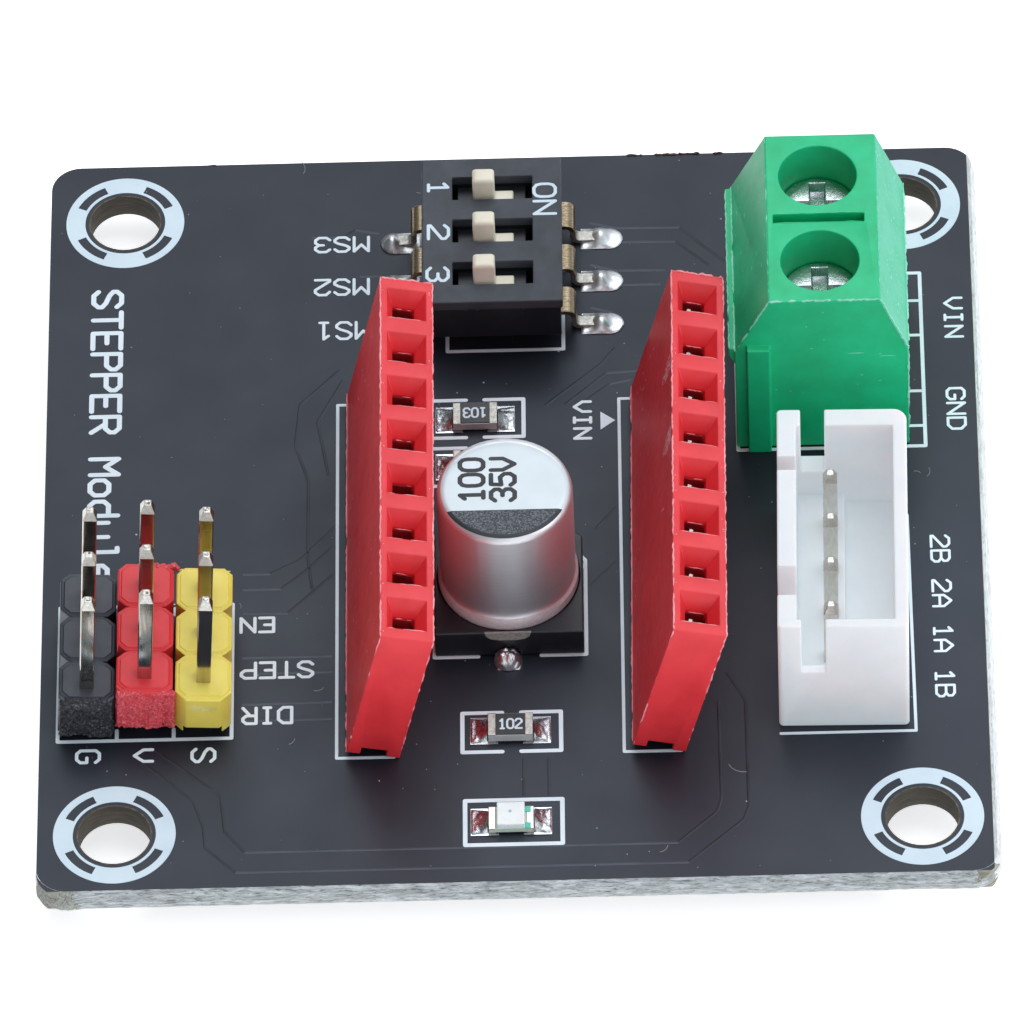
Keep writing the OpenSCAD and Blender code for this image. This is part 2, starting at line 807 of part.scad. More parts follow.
module capacitor_can() {
    r = CAN_R;
    fillet = 0.4;
    bead_r = can_d / 2;
    color([0.72, 0.72, 0.74]) at_capacitor() rotate_extrude($fn = 96) difference() {
        union() {
            translate([0, 3.1]) square([r, can_top - 3.1 - fillet]);
            translate([0, CAP_LOW + EPS]) square([r - fillet, can_top - CAP_LOW - EPS]);
            translate([r - fillet, can_top - fillet]) circle(fillet);
            polygon([
                [0, CAP_LOW + EPS], [bead_r - 0.25, CAP_LOW + EPS], [bead_r, 1.6], [bead_r, 2.05],
                [bead_r - 0.12, 2.2], [r - 0.09, 2.4], [r - 0.05, 2.7], [r, 3.1], [0, 3.1]
            ]);
        }
        square([CAN_IN, can_top - CAN_T]);
        translate([-CUT, 0]) square([CUT, can_top + CUT]);
    }
}

module capacitor_base() {
    half = CAP_BASE / 2;
    corner = 1.15;
    post_top = 1.62;
    foot_w = 0.9;
    foot_h = 0.25;
    color([0.08, 0.08, 0.09]) at_capacitor() difference() {
        translate([0, 0, PAD_T + 0.02]) linear_extrude(post_top - PAD_T - 0.02) polygon([
            [-half, -half], [half, -half], [half, half - corner], [half - corner, half],
            [-half + corner, half], [-half, half - corner]
        ]);
        translate([0, 0, CAP_LOW]) cylinder(r = can_d / 2 + 0.04, h = post_top, $fn = 96);
        block([-foot_w / 2, -half - CUT, 0], [foot_w / 2, half + CUT, foot_h + 0.02]);
        for (side = [-1, 1])
            translate([0, side * 1.25, 0]) cylinder(d = 0.9, h = 2, $fn = 32);
    }
}

module capacitor_seal() {
    color([0.12, 0.12, 0.12]) at_capacitor() difference() {
        translate([0, 0, CAP_LOW + EPS]) cylinder(r = CAN_IN - EPS, h = 1.4, $fn = 64);
        for (side = [-1, 1])
            translate([0, side * 1.25, 0]) cylinder(d = 0.6, h = 4, $fn = 32);
    }
}

module capacitor_winding() {
    color([0.8, 0.75, 0.6]) at_capacitor()
        translate([0, 0, 2.7]) cylinder(r = CAN_IN - 0.1, h = can_top - 3.2, $fn = 64);
}

module capacitor_leads() {
    rise = 2.68;
    strip_w = 0.7;
    strip_t = 0.2;
    reach = 3.75;
    color([0.8, 0.81, 0.83]) at_capacitor()
        for (side = [0, 1])
            mirror([0, side, 0]) {
                translate([0, 1.25, PAD_T + strip_t]) cylinder(d = 0.6, h = rise - PAD_T - strip_t);
                block([-strip_w / 2, 0.9, PAD_T], [strip_w / 2, reach, PAD_T + strip_t]);
            }
}

// ---------- chip parts ----------

module at_chip(at) {
    translate([at[0], at[1], SEAT + 0.02]) children();
}

module chip_ceramic() {
    wrap = 0.03;
    block(
        [-CHIP_L / 2 + wrap, -CHIP_W / 2, wrap],
        [CHIP_L / 2 - wrap, CHIP_W / 2, CHIP_H]
    );
}

module chip_body(at) {
    color([0.9, 0.9, 0.88]) at_chip(at) chip_ceramic();
}

// The dark lacquer over the resistive film
module chip_coat(at) {
    half = CHIP_L / 2 - CHIP_END;
    color([0.13, 0.13, 0.14]) at_chip(at)
        block([-half, -CHIP_W / 2 + 0.04, CHIP_H], [half, CHIP_W / 2 - 0.04, CHIP_H + 0.05]);
}

// The tinned caps that wrap both ends
module chip_ends(at) {
    color([0.85, 0.86, 0.87]) at_chip(at) difference() {
        for (side = [0, 1])
            mirror([side, 0, 0])
                block([CHIP_L / 2 - CHIP_END, -CHIP_W / 2, 0], [CHIP_L / 2, CHIP_W / 2, CHIP_H + 0.03]);
        chip_ceramic();
    }
}

module led_substrate() {
    color([0.85, 0.9, 0.85]) at_chip(LAMP)
        block([-CHIP_L / 2 + 0.03, -CHIP_W / 2, 0.03], [CHIP_L / 2 - 0.03, CHIP_W / 2, 0.23]);
}

module led_ends() {
    color([0.85, 0.86, 0.87]) at_chip(LAMP)
        for (side = [0, 1])
            mirror([side, 0, 0]) difference() {
                block([CHIP_L / 2 - 0.32, -CHIP_W / 2, 0], [CHIP_L / 2, CHIP_W / 2, 0.26]);
                block([0, -CHIP_W, 0.03], [CHIP_L / 2 - 0.03, CHIP_W, 0.23]);
            }
}

module led_lens() {
    color([0.96, 0.95, 0.93]) at_chip(LAMP) difference() {
        block([-0.62, -CHIP_W / 2, 0.23], [0.6, CHIP_W / 2, 0.6]);
        block([-0.16, -0.16, 0.2], [0.16, 0.16, 0.33]);
    }
}

module led_die() {
    color([0.9, 0.85, 0.5]) at_chip(LAMP) block([-0.16, -0.16, 0.23], [0.16, 0.16, 0.33]);
}

// ---------- assembly ----------

circuit_board();
copper_pads();
solder_joints();
driver_socket(-1);  // driver_socket_left
driver_socket(1);  // driver_socket_right
socket_contacts(-1);  // socket_contacts_left
socket_contacts(1);  // socket_contacts_right
header_body(GROUND, [0.13, 0.14, 0.16]);  // header_ground
header_body(POWER, [0.85, 0.2, 0.22]);  // header_power
header_body(SIGNAL, [0.93, 0.83, 0.3]);  // header_signal
header_pin_row(GROUND);  // pins_ground
header_pin_row(POWER);  // pins_power
header_pin_row(SIGNAL);  // pins_signal
switch_base();
switch_cover();
switch_leads();
switch_slider(1);  // switch_slider_1
switch_slider(2);  // switch_slider_2
switch_slider(3);  // switch_slider_3
switch_wiper(1);  // switch_wiper_1
switch_wiper(2);  // switch_wiper_2
switch_wiper(3);  // switch_wiper_3
terminal_housing();
terminal_screw(1);  // terminal_screw_1
terminal_screw(0);  // terminal_screw_2
terminal_cage(1);  // terminal_cage_1
terminal_cage(0);  // terminal_cage_2
terminal_contact(1);  // terminal_contact_1
terminal_contact(0);  // terminal_contact_2
motor_socket();
motor_pins();
capacitor_can();
capacitor_base();
capacitor_seal();
capacitor_winding();
capacitor_leads();
chip_body(PULL_A);  // resistor_a_body
chip_coat(PULL_A);  // resistor_a_coat
chip_ends(PULL_A);  // resistor_a_ends
chip_body(PULL_B);  // resistor_b_body
chip_coat(PULL_B);  // resistor_b_coat
chip_ends(PULL_B);  // resistor_b_ends
chip_body(LAMP_R);  // resistor_c_body
chip_coat(LAMP_R);  // resistor_c_coat
chip_ends(LAMP_R);  // resistor_c_ends
led_substrate();
led_ends();
led_lens();
led_die();
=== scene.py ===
"""Looks of the stepper driver carrier board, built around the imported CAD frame.

Shapes are worked out in millimetres in the row frame (z = 0 is the underside of the board)
and turned into metres when a piece is made.
"""
import json
import math
import random

import bmesh
import bpy
from mathutils import Matrix, Vector, noise


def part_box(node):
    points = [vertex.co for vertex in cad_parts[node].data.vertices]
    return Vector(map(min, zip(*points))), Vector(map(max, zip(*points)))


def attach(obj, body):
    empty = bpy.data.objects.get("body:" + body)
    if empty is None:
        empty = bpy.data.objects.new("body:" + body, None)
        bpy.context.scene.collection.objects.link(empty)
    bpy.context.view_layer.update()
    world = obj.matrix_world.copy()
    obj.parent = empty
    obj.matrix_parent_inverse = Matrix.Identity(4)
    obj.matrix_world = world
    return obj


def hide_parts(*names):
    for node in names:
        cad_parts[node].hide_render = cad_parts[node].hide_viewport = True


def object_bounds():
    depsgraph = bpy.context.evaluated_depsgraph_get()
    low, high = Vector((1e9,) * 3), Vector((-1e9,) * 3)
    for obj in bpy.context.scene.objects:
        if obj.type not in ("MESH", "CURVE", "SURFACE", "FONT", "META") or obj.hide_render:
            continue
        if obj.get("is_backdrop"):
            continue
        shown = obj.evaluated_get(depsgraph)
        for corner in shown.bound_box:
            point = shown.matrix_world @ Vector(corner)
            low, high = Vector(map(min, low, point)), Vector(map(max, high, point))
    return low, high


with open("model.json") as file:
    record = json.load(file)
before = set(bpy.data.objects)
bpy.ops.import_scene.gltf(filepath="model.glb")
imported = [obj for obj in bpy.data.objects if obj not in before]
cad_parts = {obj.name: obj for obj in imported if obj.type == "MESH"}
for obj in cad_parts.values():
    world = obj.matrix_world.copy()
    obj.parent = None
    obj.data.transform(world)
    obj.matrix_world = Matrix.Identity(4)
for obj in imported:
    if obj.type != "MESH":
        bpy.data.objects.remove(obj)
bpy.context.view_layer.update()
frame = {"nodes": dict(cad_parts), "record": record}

MM = 0.001
PITCH = 2.54
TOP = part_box("circuit_board")[1].z / MM      # the board's upper face
HOLES = [(sx * 17.75, sy * 17.75) for sx in (-1, 1) for sy in (-1, 1)]


# ---------- materials ----------

def tint(r, g, b):
    """A colour given in 0-255 steps, as linear RGBA."""
    def linear(v):
        v /= 255
        return v / 12.92 if v <= 0.04045 else ((v + 0.055) / 1.055) ** 2.4
    return (linear(r), linear(g), linear(b), 1.0)


class Finish:
    """A procedural material. Its patterns are laid out in millimetres over the object."""

    def __init__(self, name, metal=0.0, **fixed):
        self.material = bpy.data.materials.new(name)
        self.material.use_nodes = True
        self.tree = self.material.node_tree
        self.shader = self.tree.nodes["Principled BSDF"]
        self.coords = self.node("ShaderNodeTexCoord")
        self.shader.inputs["Metallic"].default_value = metal
        for socket, value in fixed.items():
            self.shader.inputs[socket.replace("_", " ")].default_value = value
        self.normal = None

    def node(self, kind, **settings):
        made = self.tree.nodes.new(kind)
        for key, value in settings.items():
            setattr(made, key, value)
        return made

    def join(self, source, target):
        if hasattr(source, "is_output"):
            self.tree.links.new(source, target)
        else:
            target.default_value = source

    def spot(self, stretch=(1, 1, 1)):
        """Where a point lies, in millimetres; a larger stretch squeezes the pattern along an axis."""
        mapping = self.node("ShaderNodeMapping")
        mapping.inputs["Scale"].default_value = [s / MM for s in stretch]
        self.join(self.coords.outputs["Object"], mapping.inputs["Vector"])
        return mapping.outputs["Vector"]

    def noise(self, size, stretch=(1, 1, 1), detail=3.0, rough=0.55, twist=0.0):
        made = self.node("ShaderNodeTexNoise")
        self.join(self.spot(stretch), made.inputs["Vector"])
        made.inputs["Scale"].default_value = 1 / size
        made.inputs["Detail"].default_value = detail
        made.inputs["Roughness"].default_value = rough
        made.inputs["Distortion"].default_value = twist
        return made.outputs["Fac"]

    def ramp(self, factor, *stops):
        """stops are (place, value) with a number or a colour as the value."""
        made = self.node("ShaderNodeValToRGB")
        ramp = made.color_ramp
        while len(ramp.elements) < len(stops):
            ramp.elements.new(0.5)
        for element, (place, value) in zip(ramp.elements, stops):
            element.position = place
            element.color = value if hasattr(value, "__len__") else (value, value, value, 1)
        self.join(factor, made.inputs["Fac"])
        return made.outputs["Color"]

    def mix(self, factor, a, b):
        made = self.node("ShaderNodeMix", data_type="RGBA")
        self.join(factor, made.inputs[0])
        self.join(a, made.inputs[6])
        self.join(b, made.inputs[7])
        return made.outputs[2]

    def math(self, operation, a, b=0.0):
        made = self.node("ShaderNodeMath", operation=operation)
        self.join(a, made.inputs[0])
        self.join(b, made.inputs[1])
        return made.outputs[0]

    def specks(self, size, radius, share):
        """1 inside small round specks, in that share of the cells."""
        found = self.node("ShaderNodeTexVoronoi")
        self.join(self.spot(), found.inputs["Vector"])
        found.inputs["Scale"].default_value = 1 / size
        near = self.math("LESS_THAN", found.outputs["Distance"], radius / size)
        split = self.node("ShaderNodeSeparateColor")
        self.join(found.outputs["Color"], split.inputs[0])
        return self.math("MULTIPLY", near, self.math("LESS_THAN", split.outputs[0], share))

    def paint(self, colour):
        self.join(colour, self.shader.inputs["Base Color"])
        return self

    def gloss(self, rough):
        self.join(rough, self.shader.inputs["Roughness"])
        return self

    def relief(self, height, depth):
        """Adds a relief of that depth in millimetres."""
        made = self.node("ShaderNodeBump")
        made.inputs["Distance"].default_value = depth * MM
        self.join(height, made.inputs["Height"])
        if self.normal is not None:
            self.join(self.normal, made.inputs["Normal"])
        self.normal = made.outputs["Normal"]
        self.join(self.normal, self.shader.inputs["Normal"])
        return self


def plastic(name, colour, shade, gloss=(0.32, 0.48), grain=(0.09, 0.004), scuff=None, wear=0.66,
            along=(1, 1, 1), **fixed):
    """Moulded plastic: uneven colour, fine skin, and scuffs that run along an axis."""
    made = Finish(name, **fixed)
    colours = made.mix(made.ramp(made.noise(1.6), (0.35, 0), (0.7, 1)), tint(*colour), tint(*shade))
    marks = made.noise(0.5, along, 6, 0.7, 0.4)
    if scuff:
        worn = made.ramp(marks, (wear, 0), (wear + 0.09, 1))
        colours = made.mix(worn, colours, tint(*scuff))
    made.paint(colours)
    made.gloss(made.ramp(marks, (0.3, gloss[0]), (0.75, gloss[1])))
    made.relief(made.noise(grain[0], detail=2), grain[1])
    made.relief(made.noise(0.7, detail=2), grain[1] * 2)
    return made.material


def speckled(name, dark, light):
    """A thin dark print over metal that glints through it."""
    made = Finish(name)
    spots = made.noise(0.075, detail=2)
    made.paint(made.mix(made.ramp(spots, (0.42, 0), (0.66, 1)), tint(*dark), tint(*light)))
    made.gloss(made.ramp(spots, (0.3, 0.6), (0.7, 0.4)))
    made.relief(spots, 0.012)
    return made.material


def torn(name, deep, raised):
    """Broken plastic on a coarse grain, pale on the raised grain: partly where it stretched, partly a painted
    highlight on the peaks.
    """
    made = Finish(name)
    grain = made.noise(0.11, detail=5, rough=0.7)
    patches = made.noise(0.6, detail=3)
    # pale on the raised grain: stretch whitening together with a painted highlight
    pale = made.mix(made.ramp(grain, (0.5, 0), (0.68, 1)), tint(*deep), tint(*raised))
    made.paint(made.mix(made.ramp(patches, (0.4, 0), (0.65, 0.6)), pale, tint(*deep)))
    made.gloss(made.ramp(grain, (0.3, 0.5), (0.7, 0.68)))
    made.relief(grain, 0.03)
    made.relief(made.noise(0.05, detail=2), 0.012)
    return made.material


def metal(name, colour, shade, gloss, size=0.25, depth=0.004, along=(1, 1, 1), stain=None, share=1.0):
    """Plated, drawn or cast metal, its lines along an axis, stained in patches."""
    made = Finish(name, metal=share)
    lines = made.noise(size, along, 5, 0.65)
    colours = made.mix(made.ramp(lines, (0.3, 0), (0.72, 1)), tint(*colour), tint(*shade))
    if stain:
        colours = made.mix(made.ramp(made.noise(0.7), (0.56, 0), (0.72, 1)), colours, tint(*stain))
    made.paint(colours)
    made.gloss(made.ramp(lines, (0.3, gloss[0]), (0.75, gloss[1])))
    made.relief(lines, depth)
    return made.material


def board_finish():
    """Black solder mask above and below, bare laminate on the sides and in the holes."""
    made = Finish("solder_mask", Specular_Tint=(0.84, 0.9, 1.0, 1))
    split = made.node("ShaderNodeSeparateXYZ")
    made.join(made.coords.outputs["Normal"], split.inputs[0])
    flat = made.math("GREATER_THAN", made.math("ABSOLUTE", split.outputs[2]), 0.9)
    mask = made.mix(made.ramp(made.noise(7, detail=4), (0.3, 0), (0.7, 1)),
                    tint(22, 25, 35), tint(28, 32, 43))
    mask = made.mix(made.specks(1.9, 0.05, 0.3), mask, tint(168, 172, 178))
    mask = made.mix(made.specks(0.9, 0.028, 0.22), mask, tint(120, 124, 132))
    lint = made.ramp(made.noise(0.9, (1, 4, 1), 6, 0.7, 1.5), (0.74, 0), (0.78, 1))
    mask = made.mix(made.math("MULTIPLY", lint, 0.25), mask, tint(150, 152, 158))
    layers = made.noise(0.3, (0.25, 0.25, 2.5), 5, 0.7)
    place = made.node("ShaderNodeSeparateXYZ")
    made.join(made.coords.outputs["Object"], place.inputs[0])
    reach = made.math("MAXIMUM", *(made.math("ABSOLUTE", place.outputs[axis]) for axis in (0, 1)))
    outer = made.math("GREATER_THAN", reach, 20.6 * MM)
    shade = made.ramp(layers, (0.3, 0), (0.7, 1))
    side = made.mix(outer, made.mix(shade, tint(48, 43, 36), tint(88, 80, 66)),
                    made.mix(shade, tint(104, 98, 82), tint(172, 170, 158)))
    made.paint(made.mix(flat, side, mask))
    smear = made.ramp(made.noise(3.5, detail=5), (0.3, 0.38), (0.75, 0.5))
    made.gloss(made.mix(flat, (0.75, 0.75, 0.75, 1), smear))
    made.relief(made.noise(0.22, detail=2), 0.0012)
    made.relief(made.noise(2.4, detail=2), 0.004)
    made.relief(made.math("MULTIPLY", made.math("SUBTRACT", 1.0, flat), layers), 0.03)
    return made.material


def fibre_finish(name, along, low, high, dark):
    """Snapped glass-fibre laminate, its strands along one axis."""
    made = Finish(name)
    strands = made.noise(0.2, along, 8, 0.72, 0.5)
    web = made.noise(0.08, along, 4, 0.6)
    colours = made.mix(made.ramp(strands, (0.36, 0), (0.62, 1)), tint(*low), tint(*high))
    colours = made.mix(made.ramp(web, (0.3, 1), (0.46, 0)), colours, tint(*dark))
    made.paint(colours)
    made.gloss(made.ramp(strands, (0.3, 0.5), (0.7, 0.8)))
    made.relief(strands, 0.05)
    made.relief(web, 0.02)
    return made.material


MASK = board_finish()
# Mask over the tracks: a lighter line, a painted highlight, for tracks along X.
TRACK_PAINTED_HIGHLIGHT = plastic("track_painted_highlight", (62, 67, 78), (48, 52, 62), (0.38, 0.5), (0.22, 0.001),
                Specular_Tint=(0.84, 0.9, 1.0, 1))
# A darker line, painted shade, for tracks along Y and slanting ones.
TRACK_PAINTED_SHADE = plastic("track_painted_shade", (12, 15, 20), (34, 38, 46), (0.42, 0.52), (0.22, 0.001),
                    Specular_Tint=(0.84, 0.9, 1.0, 1))
FIBRE_FRONT = fibre_finish("fibre_front", (0.2, 1, 1.7), (122, 128, 130), (206, 211, 213), (68, 72, 72))
# The same laminate painted much paler for the right edge: painted light on the side that faces the right
# lamp.
FIBRE_RIGHT_PAINTED_LIGHT = fibre_finish("fibre_right_painted_light", (1, 0.2, 1.6), (196, 200, 201), (232, 234, 235), (160, 163, 163))
FIBRE_CUT = fibre_finish("fibre_cut", (1.6, 1.6, 2.4), (116, 118, 112), (186, 188, 180), (66, 68, 62))
INK_LINE = plastic("white_ink_lines", (228, 239, 246), (216, 229, 238), (0.5, 0.66), (0.16, 0.006))
INK = plastic("white_ink", (213, 229, 239), (203, 220, 232), (0.5, 0.66), (0.16, 0.006))
BRONZE_RIM = metal("hole_rim", (104, 96, 84), (60, 54, 48), (0.4, 0.6))
RED = plastic("red_plastic", (230, 54, 62), (217, 44, 52), (0.38, 0.52), (0.07, 0.003),
              scuff=(232, 104, 110), wear=0.76, Subsurface_Weight=0.06, Subsurface_Scale=0.0006)
RED_PALE = torn("red_torn", (214, 66, 78), (246, 158, 166))
# Pale pink for the mould flash on the sockets' edges, and a painted highlight on the lips of their mouths.
RED_FLASH_AND_HIGHLIGHT = plastic("red_flash_and_highlight", (242, 164, 170), (232, 112, 120), (0.5, 0.7), (0.05, 0.02))
DARK_SPRING = plastic("spring_in_shade", (150, 26, 34), (92, 16, 22), (0.5, 0.7), (0.12, 0.006))
RED_SCUFF = plastic("red_rubbed", (244, 206, 212), (222, 156, 164), (0.5, 0.7), (0.04, 0.02))
HEADER_BLACK = plastic("header_black", (58, 63, 74), (46, 50, 60), (0.36, 0.48), (0.07, 0.005),
                       scuff=(92, 96, 106), wear=0.76)
BLACK = plastic("black_plastic", (27, 29, 36), (20, 21, 27), (0.36, 0.5), (0.07, 0.004),
                scuff=(84, 88, 98), wear=0.77)
BLACK_TORN = torn("black_torn", (24, 26, 33), (112, 116, 126))
BLACK_MATT = plastic("black_matt", (66, 71, 80), (50, 54, 62), (0.5, 0.64), (0.045, 0.014),
                     scuff=(108, 112, 118), wear=0.74)
YELLOW = plastic("yellow_plastic", (244, 222, 104), (236, 212, 88), (0.36, 0.5), (0.07, 0.004),
                 scuff=(246, 234, 160), wear=0.72, Subsurface_Weight=0.12, Subsurface_Scale=0.0006)
YELLOW_PALE = plastic("yellow_rubbed", (240, 226, 150), (222, 200, 96), (0.5, 0.7), (0.05, 0.02))
CREAM = plastic("cream_plastic", (232, 225, 208), (218, 210, 190), (0.32, 0.44), (0.1, 0.003),
                scuff=(150, 142, 126), wear=0.78, Subsurface_Weight=0.1, Subsurface_Scale=0.0005)
GREEN = plastic("green_plastic", (12, 198, 136), (8, 182, 120), (0.36, 0.52), (0.08, 0.004),
                scuff=(128, 226, 190), wear=0.72, along=(0.5, 1, 1),
                Subsurface_Weight=0.08, Subsurface_Scale=0.0006)
# A greyer green with many pale marks, for the faces that look right and up.
GREEN_RIGHT_SLOPE = plastic("green_right_slope", (40, 172, 130), (72, 180, 146), (0.5, 0.64), (0.12, 0.006),
                     scuff=(84, 184, 154), wear=0.54, along=(1.6, 1.6, 1.6))
GREEN_PALE = plastic("green_scuffed", (160, 226, 202), (96, 200, 164), (0.5, 0.7), (0.06, 0.012))
# Its emission is a painted glow, standing in for light passing through and between the shroud's walls.
WHITE_WITH_PAINTED_GLOW = plastic("white_plastic", (204, 209, 212), (198, 204, 208), (0.34, 0.46), (0.1, 0.003),
                Subsurface_Weight=0.4, Subsurface_Scale=0.002, Emission_Color=(0.92, 0.96, 1.0, 1),
                Emission_Strength=0.2)
TIN = metal("tinned_pin", (212, 207, 200), (176, 170, 160), (0.07, 0.2), 0.2, 0.0015, along=(1, 1, 0.05),
            stain=(190, 170, 140))
TIN_TIP = metal("tinned_tip", (214, 212, 206), (168, 164, 156), (0.25, 0.42), 0.1, 0.012)
# Paler tin: on the motor pins a painted reflection of the white shroud round them, on the LED's end caps
# their pale tin.
PALE_TIN_AND_PAINTED_REFLECTION = metal("pale_tin_and_painted_reflection", (226, 224, 216), (206, 202, 192), (0.3, 0.46), 0.16, 0.005, along=(1, 1, 0.3))
TIN_DULL = metal("dull_cap", (200, 198, 192), (150, 147, 140), (0.4, 0.55), 0.12, 0.012)
LEAD = metal("tinned_lead", (176, 160, 134), (104, 90, 70), (0.22, 0.4), 0.3, 0.006, along=(1, 4, 0.3))
SOLDER = metal("solder", (206, 208, 212), (150, 152, 157), (0.16, 0.36), 0.2, 0.03)
SOLDER_SATIN = metal("satin_solder", (236, 238, 240), (206, 208, 212), (0.32, 0.46), 0.2, 0.01)
PAD = metal("tinned_pad", (214, 216, 219), (176, 177, 180), (0.12, 0.26), 0.4, 0.008)
GOLD = metal("gold_contact", (214, 186, 118), (176, 148, 88), (0.18, 0.34), 0.2, 0.003, along=(1, 1, 0.3))
ZINC = metal("zinc_screw", (228, 231, 234), (186, 190, 194), (0.16, 0.34), 0.16, 0.012)
CAN = metal("satin_can", (234, 234, 238), (222, 223, 228), (0.46, 0.54), 0.3, 0.0008, along=(0.25, 0.25, 9))
CAN_RIM = metal("can_rim", (212, 204, 208), (188, 180, 184), (0.4, 0.54), 0.2, 0.004, share=0.35)
CAN_LIP = metal("can_lip_skin", (168, 166, 163), (128, 127, 125), (0.4, 0.54), 0.2, 0.004, share=0.2)
CAN_TOP = plastic("lacquered_top", (206, 214, 219), (198, 207, 212), (0.34, 0.44), (0.06, 0.0015),
                  Metallic=0.25)
PRINT = speckled("dark_print", (44, 48, 56), (104, 109, 118))
PRINT_DARK = plastic("digit_print", (34, 35, 40), (52, 54, 60), (0.45, 0.6), (0.05, 0.006))
RUBBER = plastic("rubber_seal", (22, 22, 23), (30, 30, 31), (0.6, 0.75), (0.06, 0.006))
FOIL = metal("winding_foil", (196, 188, 160), (150, 140, 112), (0.3, 0.5), 0.2, 0.01, along=(1, 1, 0.1))
CERAMIC = plastic("alumina", (196, 197, 197), (172, 173, 173), (0.4, 0.55), (0.05, 0.004))
LACQUER = plastic("black_lacquer", (28, 31, 34), (38, 41, 45), (0.3, 0.44), (0.05, 0.003))
# Its emission is a faint painted glow in the lens.
LENS_WITH_PAINTED_GLOW = plastic("lens_resin", (232, 236, 236), (214, 219, 219), (0.24, 0.36), (0.12, 0.004),
               Subsurface_Weight=0.4, Subsurface_Scale=0.0008, Emission_Color=(1, 1, 1, 1),
               Emission_Strength=0.06)
LENS_DOT = plastic("die_shadow", (176, 180, 184), (160, 164, 168), (0.3, 0.4), (0.1, 0.002))
MARK_GREEN = plastic("green_mark", (84, 200, 180), (64, 180, 160), (0.4, 0.5))
LAMINATE = plastic("led_laminate", (206, 222, 206), (190, 206, 190), (0.4, 0.55))
BROWN_FLAKE = plastic("brown_laminate", (96, 58, 44), (58, 40, 34), (0.6, 0.8))
PALE_GRIT = plastic("pale_grit", (150, 150, 150), (112, 112, 114), (0.6, 0.8))


# ---------- mesh helpers ----------

def put(name, data):
    """A new object in the scene."""
    made = bpy.data.objects.new(name, data)
    bpy.context.scene.collection.objects.link(made)
    return made


def make_piece(name, bm, materials, slot, body="board", stands_for=(), smooth=20):
    """Turns a mesh worked out in millimetres into a piece that rides on a body."""
    bmesh.ops.recalc_face_normals(bm, faces=bm.faces)
    bmesh.ops.scale(bm, vec=(MM, MM, MM), verts=bm.verts)
    mesh = bpy.data.meshes.new(name)
    bm.to_mesh(mesh)
    bm.free()
    for material in materials:
        mesh.materials.append(material)
    mesh.polygons.foreach_set("use_smooth", [True] * len(mesh.polygons))
    mesh.set_sharp_from_angle(angle=math.radians(smooth))
    piece = put(name, mesh)
    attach(piece, body)
    if stands_for:
        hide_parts(*stands_for)
    return piece


def body_of(node):
    """The body that a CAD node belongs to."""
    return next(b for b, nodes in frame["record"]["behaviour"]["bodies"].items() if node in nodes)


def refine(node, name, material, slot, width=0.05, angle=28, segments=2, recolour=None):
    """The CAD node's shape with its coplanar triangles joined and its edges rounded."""
    bm = bmesh.new()
    bm.from_mesh(frame["nodes"][node].data)
    bmesh.ops.scale(bm, vec=(1 / MM,) * 3, verts=bm.verts)
    bmesh.ops.remove_doubles(bm, verts=bm.verts, dist=0.003)
    bmesh.ops.dissolve_limit(bm, angle_limit=math.radians(1.2), verts=bm.verts, edges=bm.edges)
    sharp = [e for e in bm.edges if len(e.link_faces) == 2 and e.calc_face_angle(0) > math.radians(angle)]
    bmesh.ops.bevel(bm, geom=sharp, offset=width, offset_type="OFFSET", segments=segments, profile=0.5,
                    affect="EDGES", clamp_overlap=False, loop_slide=True)
    bmesh.ops.remove_doubles(bm, verts=bm.verts, dist=0.001)
    materials = [material]
    if recolour:
        materials.append(recolour[0])
        for face in bm.faces:
            if recolour[1](face.calc_center_median(), face.normal):
                face.material_index = 1
    return make_piece(name, bm, materials, slot, body_of(node), [node])


def dress(node, material):
    """The CAD node shows as it is, with a finish of its own."""
    data = frame["nodes"][node].data
    data.materials.clear()
    data.materials.append(material)


def lean_frame(x, y, angle, turn=0.0):
    """The frame of a part that leans about the middle of the board's thickness."""
    return (Matrix.Translation((x, y, TOP / 2)) @ Matrix.Rotation(math.radians(turn), 4, "Z")
            @ Matrix.Rotation(math.radians(angle), 4, "Y") @ Matrix.Translation((0, 0, -TOP / 2)))


def axes_frame(origin, x_axis, y_axis, z_axis):
    """The frame with that origin and those three axes."""
    return Matrix.Translation(origin) @ Matrix((x_axis, y_axis, z_axis)).transposed().to_4x4()


def upright_frame(x, y, z):
    """Local X as in the row frame, local Y upwards and local Z towards the front edge."""
    return Matrix.Translation((x, y, z)) @ Matrix.Rotation(math.pi / 2, 4, "X")


def skin(bm, loops, material=0):
    """Faces from each closed loop of points to the next."""
    for a, b in zip(loops, loops[1:]):
        for i in range(len(a)):
            j = (i + 1) % len(a)
            bm.faces.new((a[i], a[j], b[j], b[i])).material_index = material


def tube(bm, loops, material=0):
    """Closed loops of points joined up, with a face over each end."""
    skin(bm, loops, material)
    for end in (loops[0][::-1], loops[-1]):
        bm.faces.new(end).material_index = material


def sheet(bm, rows, material=0):
    """Faces over a grid of points; gives back the points round its rim, in order."""
    for a, b in zip(rows, rows[1:]):
        for i in range(len(a) - 1):
            bm.faces.new((a[i], a[i + 1], b[i + 1], b[i])).material_index = material
    return rows[0] + [row[-1] for row in rows[1:]] + rows[-1][-2::-1] + [row[0] for row in rows[-2:0:-1]]


def slab(bm, outline, z, thick, material=0, place=None):
    """A flat-topped shape over an outline."""
    place = place or Matrix.Identity(4)
    tube(bm, [[bm.verts.new(place @ Vector((p[0], p[1], h))) for p in outline] for h in (z, z + thick)],
         material)


def block(bm, x0, y0, x1, y1, z, thick, material=0, place=None):
    """A flat-topped rectangle."""
    slab(bm, [(x0, y0), (x1, y0), (x1, y1), (x0, y1)], z, thick, material, place)


